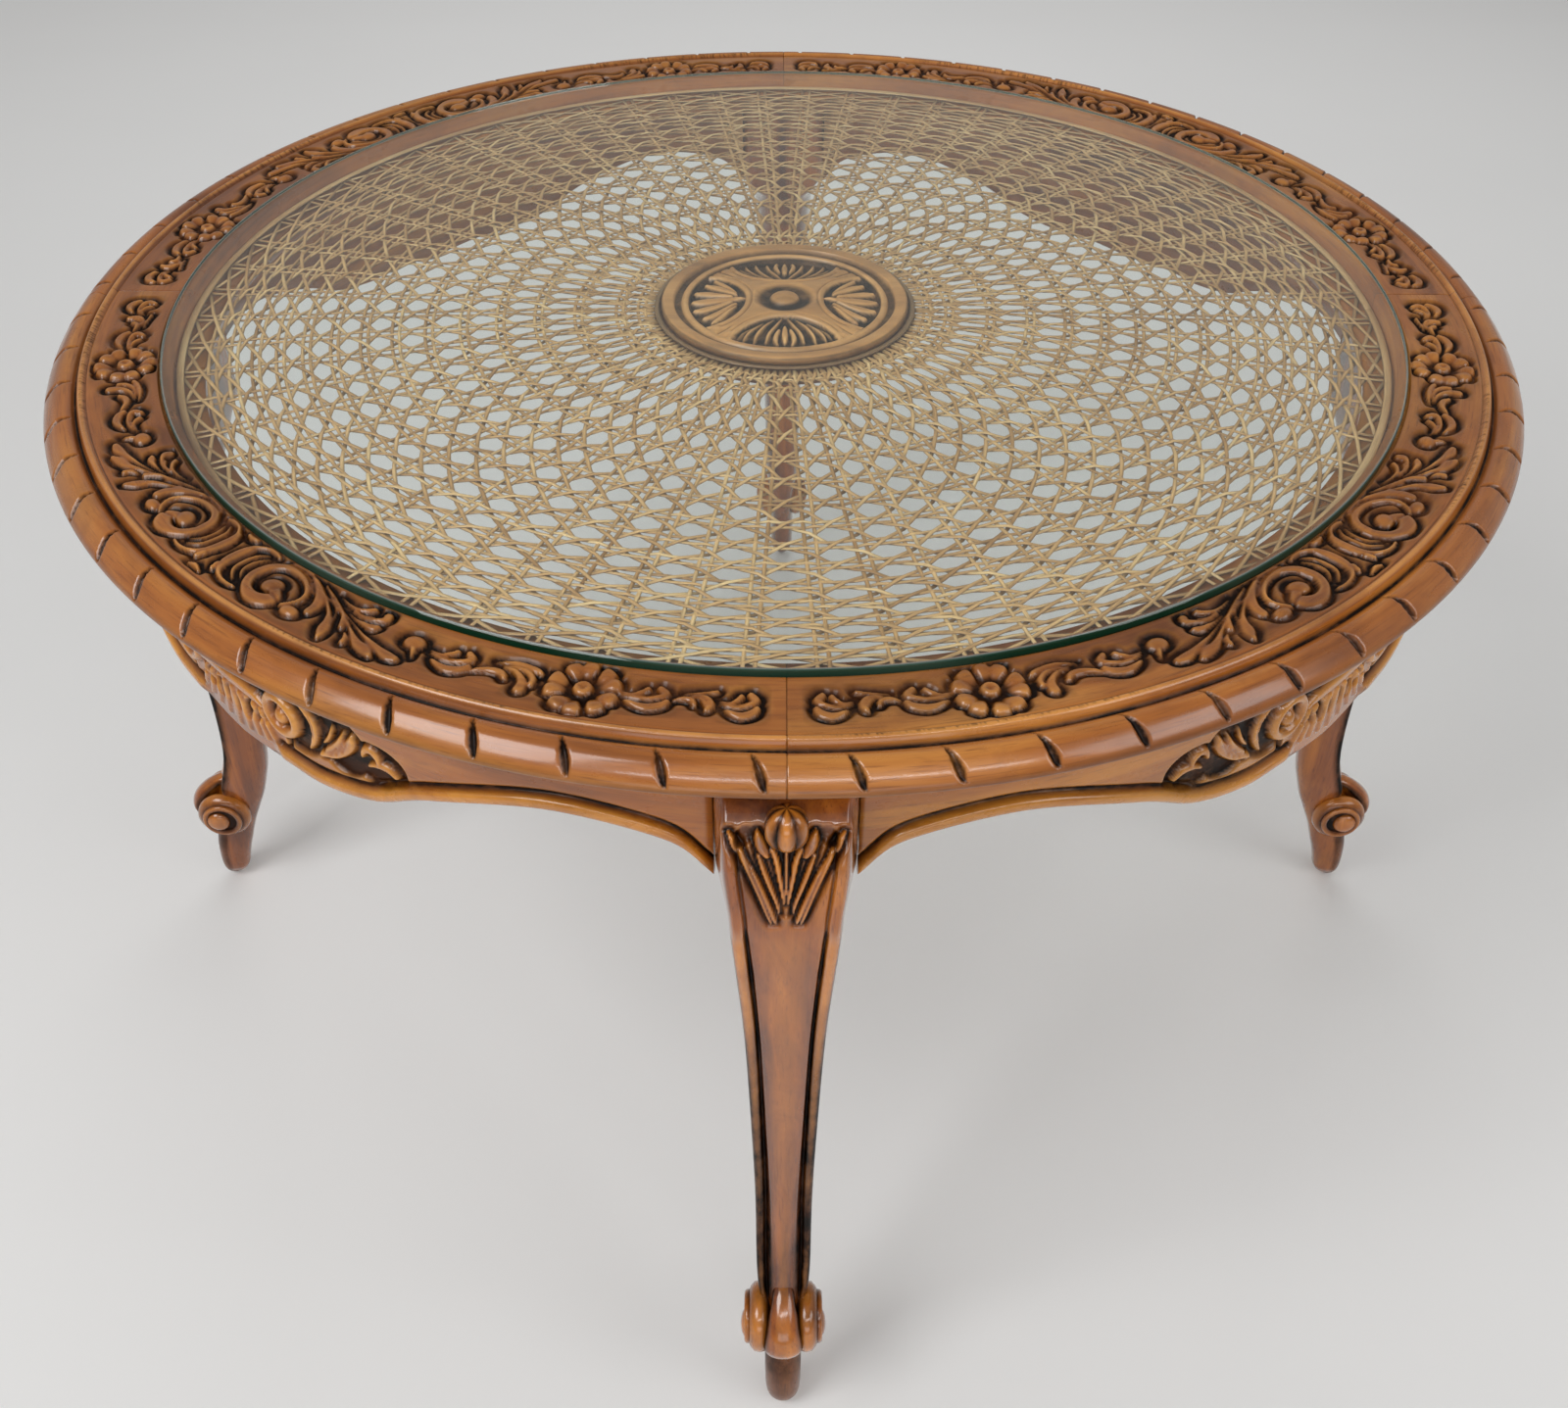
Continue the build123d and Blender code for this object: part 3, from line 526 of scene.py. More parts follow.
def frieze_height(u, r):
    """The carving of the flat band over layout units from the seam and radii."""
    x = u * UNIT
    relief = Relief(x, r, FRIEZE_DEPTH)

    def mm(points):
        return [(p[0] * UNIT,) + tuple(p[1:]) for p in points]

    for u0, u1, r0, r1 in LEAF_A_PLACES:
        for points, top in LEAF_A:
            placed = [(u0 + (u1 - u0) * a, r0 + (r1 - r0) * b, w) for a, b, w in points]
            relief.ridge(mm(placed), top, 0.45, 1.12)
    for points in FRIEZE_STROKES:
        relief.ridge(mm(points), 0.7, 0.45, 1.12)
    for points in ACANTHUS_STROKES:
        relief.ridge(mm(points), 0.6, 0.5, 1.2)
    relief.ridge(mm(SCROLL_BAND), 0.9, 0.42, 1.12)
    relief.dome((36.85 * UNIT, 414.3), (6.3, 4.3), 1.0)
    relief.dome((26.9 * UNIT, 401.5), (6.6, 5.2), 1.1)
    for points in CENTRE_STROKES:
        relief.ridge(mm(points), 0.9, 0.45, 1.12)
    for points in CENTRE_FLUTES:
        relief.ridge(mm(points), 0.0, 0.6)
    relief.dome((40.1 * UNIT, 405.5), (7.0, 5.7), 1.2, turn=0.35)
    relief.groove(mm(((39.7, 411, .9), (41, 412, 1), (41.5, 409, 1), (41.8, 405, .8))), 1.8)
    relief.groove(mm(((38.1, 413.2, .9), (39.2, 410.8, 1.0), (39.9, 411.4, .8))), 1.2)

    fx, fy = x - FLOWER[0] * UNIT, r - FLOWER[1]
    rho = np.hypot(fx, fy)
    phi = np.degrees(np.arctan2(fx, fy))
    petal = (phi - 54.0 + 360.0) % 72.0 - 36.0
    a = np.abs(petal)
    outer = 19.2 - 1.9 * bell(a, 4.0) - 2.6 * smoothstep((a - 24.0) / 12.0)
    inside = (rho < outer) & (rho > 4.0)
    bowl = np.interp(rho, (4, 5.5, 8, 11, 14, 17, 19.2), (-2.7, -2.5, -1.8, 0.0, 1.1, 0.8, 0.0))
    bulge = 0.55 * bell(a - 17.0, 9.0) * smoothstep((rho - 7) / 6)
    crease = 0.75 * bell(a, 3.4) * smoothstep((rho - 6) / 4)
    edge = np.clip((outer - rho) / 2.2, 0, 1) ** 0.5
    slit_half = rho * np.radians(36.0 - a)
    slit = 2.9 * swell(slit_half / 1.7, 1)
    flower = (bowl + bulge - crease + FRIEZE_DEPTH) * edge - FRIEZE_DEPTH - slit
    relief.form = np.where(inside, np.maximum(flower, -FRIEZE_DEPTH - 0.4), relief.form)
    relief.gap = np.minimum(relief.gap, rho - outer)
    lip = np.interp(rho, (0, 1.2, 2.2, 4.0, 5.2), (-0.6, 0.1, 1.0, 0.9, -1.8))
    relief.form = np.where(rho < 5.2, lip, relief.form)
    return relief


# One nick across the ovolo edge, as (along the rim, down the edge, half width).
NICK = ((-4.2, 1.5, .3), (-2.4, 6, 1.2), (-.6, 11, 1.9), (1, 16, 2.2), (2, 20, 1.6), (2.3, 22, .6))
NICKS = 16
NICK_PHASE = 0.72
NICK_DEPTH = 2.4
NICK_RADIUS = 447.0
FRIEZE_RADIUS = 406.0
FRIEZE_FACE = 534.0
REBATE_EDGE = 386.4
BEAD_AND_QUIRK = ((426.4, 533.9), (427.2, 533.2), (428.0, 534.4), (428.9, 535.4), (429.9, 535.9),
                  (431.0, 535.5), (431.9, 534.2), (432.5, 532.0), (433.3, 529.6), (434.2, 529.0),
                  (434.9, 529.6))
OVOLO = ((435.4, 530.6), (438.2, 532.1), (441.5, 532.5), (445, 531.4), (448, 529.0),
         (451.2, 525.6), (453.2, 522.2), (453.4, 519.8), (452.2, 518.4), (450.5, 518))
UNDERSIDE_AND_REBATE = ((449.3, 517.9), (445, 517.5), (441, 516.6), (438.6, 515.6), (437.6, 514.4),
                        (436.6, 512.4), (436, 509.6), (435.4, 509.0), (410, 509), (385, 509), (362.6, 509),
                        (362, 509.6), (362, 519), (379.5, 519), (379.5, 530.6), (REBATE_EDGE, 530.6))
SEAM_DEPTH = 0.35
SEAM_HALF = 0.3


def build_rim():
    """Four quarters of the rim: one profile carried round, raised and cut along its normals."""
    column_step = 0.95
    count = int(round(math.radians(90) * FRIEZE_RADIUS / column_step)) + 1
    angle = np.linspace(0, 90, count)
    seam = np.degrees(np.array([0.25, 0.6]) / FRIEZE_RADIUS)
    angle = np.unique(np.concatenate([angle, seam, 90 - seam]))
    frieze_r = np.arange(REBATE_EDGE + 0.5, 425.9, 0.8)
    profile = [(REBATE_EDGE, 533.6)] + [(r, FRIEZE_FACE) for r in frieze_r]
    profile += BEAD_AND_QUIRK
    ovolo_first = len(profile)
    profile += [tuple(p) for p in smooth_line(OVOLO, 3)]
    ovolo_last = len(profile)
    profile = np.array(profile + list(UNDERSIDE_AND_REBATE))
    n = len(profile)
    tangent = np.roll(profile, -1, 0) - np.roll(profile, 1, 0)
    normal = np.stack([-tangent[:, 1], tangent[:, 0]], 1)
    normal /= np.linalg.norm(normal, axis=1)[:, None]
    frieze_rows = slice(1, 1 + len(frieze_r))
    u = 2 * MID * angle / 90.0
    folded = MID - np.abs(u - MID)
    U, R = np.meshgrid(folded, frieze_r, indexing="ij")
    relief = frieze_height(U, R)
    z = box_blur(relief.height(), 1)
    edge_in = smoothstep((R - REBATE_EDGE) / 1.6) * smoothstep((426.0 - R) / 1.6)
    z = z * edge_in
    # Painted shade and glaze in the frieze carving, painted highlight and rubbing on its crests, and a slight
    # overall darkening of the frieze.
    cavity, frieze_wear_and_highlight = shade_of(z, FRIEZE_DEPTH)
    frieze_shade_and_glaze = np.clip(box_blur(relief.shade_and_glaze(z, 3.4), 1) + 0.4 * cavity + 0.12, 0, 1)
    offset = np.zeros((len(angle), n))
    offset[:, frieze_rows] = z
    shade_and_glaze = np.zeros((len(angle), n))
    wear_and_highlight = np.zeros((len(angle), n))
    shade_and_glaze[:, frieze_rows] = frieze_shade_and_glaze
    wear_and_highlight[:, frieze_rows] = frieze_wear_and_highlight
    r, zz = profile.T
    face = zz > 530
    # Painted shade on the rebate under the glass and on the inner faces.
    shade_and_glaze[:, r < REBATE_EDGE + 0.1] = 0.2
    # Painted shade in the small dip before the bead.
    shade_and_glaze[:, (r > 427.0) & (r < 427.6) & face] = 0.5
    # Painted highlight along the crest of the bead.
    wear_and_highlight[:, (r > 428.2) & (r < 431.6) & face] = 0.8
    # Painted shade in the quirk between the bead and the ovolo.
    shade_and_glaze[:, (r > 433.0) & (r < 434.6) & (zz > 528) & ~face] = 1.0
    # Painted shade under the ovolo.
    shade_and_glaze[:, (r > 436) & (zz < 517.8)] = 0.6
    speckle = (RNG.random(len(angle)) > 0.55) * smoothstep(np.sin(np.radians(angle * 7.0)) * 1.5)
    for i in np.flatnonzero((r > 426.8) & (r < 430.5) & face):
        shade_and_glaze[:, i] = np.maximum(shade_and_glaze[:, i], 0.75 * speckle * RNG.random(len(angle)))
    steps = np.linalg.norm(np.diff(profile[ovolo_first:ovolo_last], axis=0), axis=1)
    length = np.concatenate([[0], np.cumsum(steps)])
    arc = np.radians(angle) * NICK_RADIUS
    NX, NS = np.meshgrid(arc, length, indexing="ij")
    nicks = Relief(NX, NS, 1.0)
    for k in range(NICKS + 1):
        at = math.radians(90.0 * (k + NICK_PHASE - 1) / NICKS) * NICK_RADIUS
        if -6 < at < math.radians(90) * NICK_RADIUS + 6:
            nicks.groove([(at + p[0], p[1], 1.15 * p[2]) for p in NICK], NICK_DEPTH, 4)
    offset[:, ovolo_first:ovolo_last] -= nicks.cut
    # Painted shade in the nicks, by their depth.
    shade_and_glaze[:, ovolo_first:ovolo_last] += np.clip(nicks.cut / 1.3, 0, 1) * 0.95
    shadow = smoothstep((length - 19.0) / 6.0) * 0.45 + smoothstep((2.0 - length) / 2.0) * 0.4
    shade_and_glaze[:, ovolo_first:ovolo_last] += shadow[None, :]
    seam_drop = bell(np.minimum(angle, 90 - angle) * math.radians(1) * FRIEZE_RADIUS, SEAM_HALF) * SEAM_DEPTH
    offset -= seam_drop[:, None] * (np.arange(n) < ovolo_last)[None, :]
    shade_and_glaze += (seam_drop / SEAM_DEPTH)[:, None] * 0.5
    rr = profile[None, :, 0] + normal[None, :, 0] * offset
    zz = profile[None, :, 1] + normal[None, :, 1] * offset
    a = np.radians(angle)[:, None]
    base = np.stack([rr * np.cos(a), rr * np.sin(a), zz], -1)
    faces = capped(len(angle), n)
    for name, start in QUARTERS.items():
        index = start / 90.0
        along_rim = np.broadcast_to(a * 0.44, rr.shape)
        grain = np.stack([along_rim + 1.7 * index, rr * MM + 0.31 * index, zz * MM], -1)
        obj = make_mesh("rim_wood_" + name, turn(base, start).reshape(-1, 3), faces,
                        {"shade_and_glaze": np.clip(shade_and_glaze, 0, 1), "wear_and_highlight": wear_and_highlight}, RIM_WOOD, grain=grain.reshape(-1, 3))
        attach(obj, "table")
        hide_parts("rim_" + name)


# ---------------------------------------------------------------- aprons

APRON_OUT = 420.0
APRON_IN = 396.0
APRON_TOP = 509.0
# Degrees from the middle of the apron, height of the lower edge.
APRON_EDGE = ((0, 421.5), (6, 424.5), (10, 424.0), (15, 431.2), (20, 447.8), (29, 464.5), (37, 456.6),
              (40.4, 434.0))
CARVED_HALF = 145.0
BEAD_DEPTH = 3.0
GROOVE_DEPTH = 2.4
# (stroke, top, fullness); a stroke's rows are (along the apron, height, half width).
APRON_STROKES = (
    (((0, 459.5, 4.2), (12, 459.5, 4.2), (24, 458.8, 3.8), (30, 457.2, 2.6)), 2.2, 0.4),
    (((45, 477, 1.2), (55, 480, 1.6), (65, 476, 2.0), (71, 468, 2.8), (72, 461, 3.2), (70, 453, 2.4),
      (66, 446, 1.0)), 1.6, 0.5),
    (((101, 472, 1.2), (99, 466, 3.6), (94, 459.5, 4.2), (85, 452, 3.6), (75, 447.5, 2.0)), 1.8, 0.45),
    (((94, 470, .9), (91, 464, 2.2), (86, 458, 2.2), (79, 452.5, 1.4)), 1.6, 0.5),
    (((86, 471, .8), (84.5, 465, 1.6), (81, 459.5, 1.6), (77, 455.5, .9)), 1.2, 0.5),
    (((106, 460, 1.0), (107.5, 465, 2.4), (111.5, 467, 3.2), (115.5, 464, 2.6), (116.5, 460, 1.2)), 1.6, 0.5),
    (((108, 455, 1.0), (114, 458, 2.0), (121, 458.5, 3.2), (127, 455, 1.6)), 1.4, 0.5),
)
LEAF_VEINS = (((88, 458, .7), (83, 451, .6)), ((93, 462, .7), (87, 453, .6)), ((97, 466, .6), (92, 457, .6)),
              ((79, 454, .6), (76, 448.5, .5)))
# (distance from the middle, half width) of the cartouche's hanging lobes.
FAN_LOBES = ((0, 5.0), (9.5, 4.2), (18.0, 4.0), (26.0, 3.6), (33.5, 3.0))
# Hollows between the lobes: centre, radii, depth, turn.
FAN_HOLLOWS = (((4.9, 445), (1.9, 6.5), 4.2, -0.1), ((14.4, 446), (3.6, 8.4), 5.4, -0.25),
               ((23.4, 446.5), (2.2, 6.4), 4.2, -0.4), ((31.0, 449), (1.8, 4.8), 3.6, -0.5))
# Sunk grounds: centre, radii.
APRON_POCKETS = (((57, 462), (22.5, 21)), ((91, 460), (16.5, 18)), ((114, 457), (17, 13)),
                 ((18, 470), (32, 12.5)))


def apron_carving(u, z):
    """The cartouche and its leaves over distances from the apron's middle and heights."""
    a = np.abs(u)
    relief = Relief(a, z, 3.4, 2.4)
    for centre, radii in APRON_POCKETS:
        relief.pocket(centre, radii)
    for points, top, full in APRON_STROKES:
        relief.ridge(points, top, full)
    relief.dome((0, 440), (46, 20), 0.4, 0.25)
    rho = np.hypot(a - 46.5, z - 459.5)
    band = np.where(np.abs(rho - 11.5) < 3.6, -3.2 + 6.0 * swell((rho - 11.5) / 3.6, 0.45), -1e3)
    relief.form = np.maximum(relief.form, band)
    relief.gap = np.minimum(relief.gap, rho - 15.0)
    relief.form = np.where(rho < 8.0, -2.6, relief.form)
    ball = np.hypot(a - 45.5, z - 457.5)
    relief.form = np.where(ball < 5.4, -2.6 + 4.9 * swell(ball / 5.4), relief.form)
    for k in range(6):
        x = 5.0 + 6.6 * k
        relief.ridge([(x, 481, .5), (x + 0.6, 474, 1.5), (x + 1.2, 467.5, 1.0)], -0.9, 0.5)
    for x, w in FAN_LOBES:
        relief.ridge([(x * 0.78, 453.5, w * 0.45), (x * 0.9, 445, w * 0.85), (x + 0.05 * (0.55 * x), 436, w),
                      (x * 1.08, 428.5 + 0.16 * x, w * 0.7)], 2.2, 0.5)
    for centre, radii, depth, lean in FAN_HOLLOWS:
        relief.hollow(centre, radii, depth, lean)
    for points in LEAF_VEINS:
        relief.groove(points, 1.3)
    relief.groove(((69, 474, .7), (71.2, 466, .8), (70.5, 457, .7)), 1.6)
    return relief


def build_aprons():
    """Four aprons: carved front, flat back, beaded and shaped lower edge."""
    end = APRON_OUT * math.radians(45.0 - math.degrees(math.asin(34.0 / 408.0)))
    fine = 0.9
    u = np.concatenate([np.arange(-end, -146, 3.0), np.arange(-CARVED_HALF, CARVED_HALF + 0.01, fine),
                        np.arange(148.6, end + 0.01, 3.0)])
    u[0], u[-1] = -end, end
    u = np.unique(u)
    phi = u / APRON_OUT
    edge_line = np.array([(math.radians(p), zz) for p, zz in APRON_EDGE])
    low = along(edge_line, np.abs(phi))
    rows = 88
    t = np.linspace(0, 1, rows) ** 1.15
    U = np.repeat(u[:, None], rows, 1)
    Z = low[:, None] + (APRON_TOP - low)[:, None] * t[None, :]
    relief = apron_carving(U, Z)
    zone = smoothstep((150 - np.abs(U)) / 8)
    h = relief.height()
    above = Z - low[:, None]
    bead_half = 4.0
    bead = BEAD_DEPTH * swell((above - bead_half - 0.8) / bead_half)
    groove = GROOVE_DEPTH * bell(above - 10.6, 1.7)
    bead_zone = smoothstep((np.abs(U) - 30) / 14)
    inner = (np.abs(U) < CARVED_HALF) & (above > 9.6)
    h = np.where(inner, h, 0.0) * zone
    middle = smoothstep((46 - np.abs(U)) / 8)
    h = np.where(np.abs(U) < 46, np.maximum(h, relief.height() * middle), h)
    h = h + (bead - groove) * bead_zone
    h = box_blur(h, 1)
    h = h * smoothstep(above / 1.2)
    # Painted shade and glaze in the carving and in the groove above the bead, painted highlight and rubbing
    # on the crests.
    cavity, wear_and_highlight = shade_of(h, 3.2, 14)
    carved = np.where((above > 9.6) | (np.abs(U) < 40), relief.shade_and_glaze(h, 1.6), 0.0)
    shade_and_glaze = np.clip(box_blur(carved, 1) * zone + 0.4 * cavity + 0.8 * groove / GROOVE_DEPTH * bead_zone, 0, 1)
    # Painted shadow along the top of the apron, under the rim.
    shade_and_glaze = np.clip(shade_and_glaze + smoothstep((Z - 494) / 12) * 0.55, 0, 1)
    # Painted highlight along the bead.
    wear_and_highlight = np.clip(wear_and_highlight + 0.6 * (bead / BEAD_DEPTH) * bead_zone, 0, 1)
    rr = APRON_OUT + h
    a = phi[:, None]
    front = np.stack([rr * np.cos(a), rr * np.sin(a), Z], -1)
    across = np.ones((1, 6))
    BZ = low[:, None] + (APRON_TOP - low)[:, None] * np.linspace(1, 0, 6)[None, :]
    back = np.stack([APRON_IN * np.cos(a) * across, APRON_IN * np.sin(a) * across, BZ], -1)
    ring = np.concatenate([front, back], 1)
    n = ring.shape[1]
    pad = np.zeros((len(u), 6))
    # Painted shade on the back face.
    shade_and_glaze = np.concatenate([shade_and_glaze, pad + 0.25], 1)
    wear_and_highlight = np.concatenate([wear_and_highlight, pad], 1)
    faces = capped(len(u), n, 0, True)
    for name, start in QUARTERS.items():
        index = start / 90.0
        grain = np.stack([np.repeat(u[:, None], n, 1) * MM + 2.3 * index, ring[..., 2] * MM + 0.4,
                          np.hypot(ring[..., 0], ring[..., 1]) * MM], -1)
        obj = make_mesh("apron_wood_" + name, turn(ring, start + 45).reshape(-1, 3), faces,
                        {"shade_and_glaze": shade_and_glaze, "wear_and_highlight": wear_and_highlight}, APRON_WOOD, grain=grain.reshape(-1, 3))
        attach(obj, "table")
        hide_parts("apron_" + name)


# ---------------------------------------------------------------- legs

# Tables of (height, radius) for the leg's front and back, and (height, half width) for its side and knee.
LEG_FRONT = ((509, 423), (503, 425), (497, 433), (489, 442), (478, 448.5), (466, 452.6), (444, 456.5),
             (413, 455), (370, 450), (310, 444.5), (245, 440.5), (190, 440), (142, 443.5), (110, 452),
             (85, 460), (60, 465), (38, 469.5), (20, 470.8), (10, 470), (4, 467.4), (1.5, 465), (0, 462))
LEG_BACK = ((509, 376), (440, 376), (418, 382), (375, 395), (315, 404), (260, 403), (200, 405), (138, 410.5),
            (110, 416), (80, 427), (60, 435), (38, 442), (20, 447), (10, 448.8), (4, 451.4), (1.5, 453.6),
            (0, 456.5))
SHANK_HALF = ((395, 24.4), (337, 21), (258, 18.5), (185, 16.6), (125, 16.0), (95, 13.5), (60, 11.4),
              (38, 11.2), (20, 10.8), (10, 9.8), (4, 7.6), (1.5, 5.6), (0, 3.0))
LEG_SIDE = ((509, 34), (452, 34), (440, 31), (432, 28.5)) + SHANK_HALF
KNEE_FACE = ((509, 34), (503, 33), (497, 31), (488, 30.6), (470, 30.2), (456, 28.8), (445, 27.6),
             (432, 26.8)) + SHANK_HALF
# Knee carving: rows are (distance from the middle, height on the knee, half width).
KNEE_STROKES = (
    ((26.8, 498, 1), (23.5, 489, 2.2), (20.5, 481, 1.9), (16.5, 468, 1.5), (12.5, 455, 1.3), (8.5, 441, 1.1),
     (7, 435.5, .6)),
    ((20, 483, .6), (14.5, 468, 1.2), (10, 454, 1.4), (6, 440, 1.2), (5, 436, .7)),
    ((13, 482, 1), (10.5, 472, 1.5), (7.5, 461, 1.4), (4.5, 450, 1), (3.3, 443, .6)),
    ((6.5, 486, 1.6), (4.5, 478, 1.6), (3, 466, 1.3), (1.5, 455, 1), (.8, 449, .5)),
    ((0, 487, 1.2), (0, 470, 1.0), (0, 456, .5)),
    ((13.5, 499, .8), (12.6, 493, 2.6), (11, 486, 3), (9, 481, 1.5)),
)
BUD_CENTRE = (446.5, 495)
SCROLL_CENTRE = (452.0, 80.0)
EYE_CENTRE = (455.5, 78.8)
# Turned forms of the scroll foot: rows are (distance from the leg's middle, radius, painted shade and glaze,
# painted highlight and wear).
SCROLL_LOBE = ((6.0, 12, 1, 0), (8.6, 17.0, .95, 0), (10.5, 19.8, .45, .5), (14.0, 21.0, .05, .7),
               (17.6, 20.2, .1, .5), (20.0, 17.4, .4, .2), (21.2, 14.4, .95, 0), (21.6, 12.6, 1.0, 0))
SCROLL_DISC = ((20.0, 15.6, .6, 0), (22.4, 15.6, .2, .3), (23.6, 14.6, .1, .6), (23.6, 11.8, .5, .1),
               (21.4, 11.0, 1, 0), (21.4, 9.0, 1, 0))
SCROLL_EYE = ((19.0, 9.6, 1, 0), (21.4, 9.4, .7, 0), (23.4, 8.4, .1, .3), (24.8, 6.4, 0, .5),
              (25.6, 3.6, 0, .5), (25.9, 0.6, 0, .4))
TOE = ((446, 112), (455, 110), (466.5, 103), (476, 93.5), (479.9, 84), (478, 75.5), (472.5, 67), (466, 60.5),
       (459, 57.5))
TOE_HALF = ((57, 8.6), (62, 10.4), (70, 11.6), (80, 12.0), (92, 11.2), (104, 9.0), (112, 6.0))
TOE_DEPTH = 14.0


def lathe(centre, profile, segments=40):
    """Points of a turned form whose axis runs across the leg: profile rows are (across, radius)."""
    p = np.asarray(profile, float)
    t = np.linspace(0, 2 * math.pi, segments, endpoint=False)
    r = centre[0] + p[:, 1][:, None] * np.cos(t)[None, :]
    z = centre[1] + p[:, 1][:, None] * np.sin(t)[None, :]
    y = np.repeat(p[:, 0][:, None], segments, 1)
    return np.stack([r, y, z], -1)


class Parts:
    """Several closed skins kept as one mesh."""

    def __init__(self):
        self.v, self.f, self.g, self.w, self.count = [], [], [], [], 0

    def add(self, rings, shade_and_glaze, wear_and_highlight, flip):
        rows, around = rings.shape[:2]
        self.v.append(rings.reshape(-1, 3))
        self.f += capped(rows, around, self.count, flip)
        self.g.append(shade_and_glaze.ravel())
        self.w.append(wear_and_highlight.ravel())
        self.count += rows * around

    def arrays(self):
        return np.concatenate(self.v), self.f, np.concatenate(self.g), np.concatenate(self.w)


def leg_rings():
    """The leg from the apron to the peg as rings round it, with its painted shade and glaze, and its painted
    highlight and wear.
    """
    step = 0.9
    z = np.concatenate([np.arange(509, 500, -1.5), np.arange(500, 425, -step), np.arange(425, 120, -4.0),
                        np.arange(120, 12, -3.0), np.array([12, 9, 6.5, 4.5, 2.8, 1.5, 0.6, 0.0])])
    front, back, side_half, half = (along(table, z) for table in (LEG_FRONT, LEG_BACK, LEG_SIDE, KNEE_FACE))
    slope = np.gradient(front, z)
    nr, nz = 1 / np.hypot(1, slope), -slope / np.hypot(1, slope)
    samples = 81
    s = np.linspace(-1, 1, samples)
    s = np.sign(s) * np.abs(s) ** 0.9
    Y = half[:, None] * s[None, :]
    A = np.abs(Y)
    W = np.repeat(half[:, None], samples, 1)
    Z = np.repeat(z[:, None], samples, 1)
    F = np.repeat(front[:, None], samples, 1)

    crown = np.interp(Z, (100, 120, 181, 258, 337, 400, 430, 470), (4.0, 4.2, 6.5, 9.5, 12.5, 15, 18, 26))
    deep = np.interp(Z, (100, 150, 300, 430, 440), (4.6, 6.0, 5.4, 3.6, 2.8))
    bead = np.interp(Z, (100, 120, 300, 440), (2.0, 2.4, 3.3, 3.6))
    crown_drop = 1.4 * np.clip(A / crown, 0, 1) ** 2
    cove = (deep - 1.4) * smoothstep((A - crown) / np.maximum(W - 2 * bead - crown, 1.0))
    line = 1.7 * bell(A - (W - 2 * bead - 0.7), 0.8)
    rise = bead * 0.95 * swell((A - (W - bead)) / bead)
    rolled = (A > W - 2 * bead) * rise
    shank = crown_drop + cove + line - rolled
    block = 2.5 * (A / 34.0) ** 2 + 3.0 * np.clip((A - W + 3.0) / 3.0, 0, 1) ** 2
    peg = W * (1 - np.sqrt(np.clip(1 - (A / W) ** 2, 0.0, 1))) * 0.8
    knee_part = smoothstep((Z - 424) / 16)
    low_part = smoothstep((112 - Z) / 22)
    upper = smoothstep((492 - Z) / 10)
    drop = shank * (1 - knee_part) + (block + (line - rolled) * 0.8 * upper) * knee_part
    drop = drop * (1 - low_part) + peg * low_part

    on_knee = Z + 452 - F
    relief = Relief(A, on_knee, 2.6, 4.0)
    for points in KNEE_STROKES:
        relief.ridge(points, 1.0, 0.55)
    relief.hollow((20, 494), (4.5, 8.5), 3.0, 0.25)
    carve = relief.height() * smoothstep((on_knee - 430) / 8) * smoothstep((506 - on_knee) / 4)
    carve = carve * smoothstep((W - A) / 1.5)
    carve = carve * (Z > 425)
    drop = drop - carve
    # Painted shade in the coves of the shank, by their depth.
    depth_seen = np.clip((shank - 1.0) / 2.4, 0, 1) * (1 - knee_part) * (1 - low_part)
    # Painted shade and glaze in the knee carving, painted highlight and rubbing on its crests.
    cavity, kw = shade_of(carve, 2.6, 8)
    kg = np.clip(relief.shade_and_glaze(carve, 2.2) * smoothstep((on_knee - 432) / 6) * smoothstep((508 - on_knee) / 6)
                 * smoothstep((W - A - 1.0) / 1.5) + 0.5 * cavity, 0, 1)
    # All the leg's painted shade together: coves, grooves beside the beads, and the knee carving.
    shade_and_glaze = np.clip(depth_seen * 0.95 + line / 1.7 * 0.7 * upper * (1 - low_part) + kg * (Z > 425), 0, 1)
    # Painted highlight on the crown of the shank and on the rolled beads, and on the knee's crests.
    wear_and_highlight = np.clip(1 - crown_drop, 0, 1) * 0.25 * (1 - knee_part) + rolled / 3.0 * (1 - knee_part) * 0.8
    wear_and_highlight = np.clip(wear_and_highlight + kw * 0.9, 0, 1) * (1 - 0.7 * low_part)
    # Darker from the top of the peg downwards, a little less at the very bottom.
    shade_and_glaze = np.clip(shade_and_glaze + 0.75 * smoothstep((96 - Z) / 16) - 0.15 * smoothstep((50 - Z) / 20), 0, 1)
    fr = F - drop * nr[:, None]
    fz = Z - drop * nz[:, None]
    front_ring = np.stack([fr, Y, fz], -1)

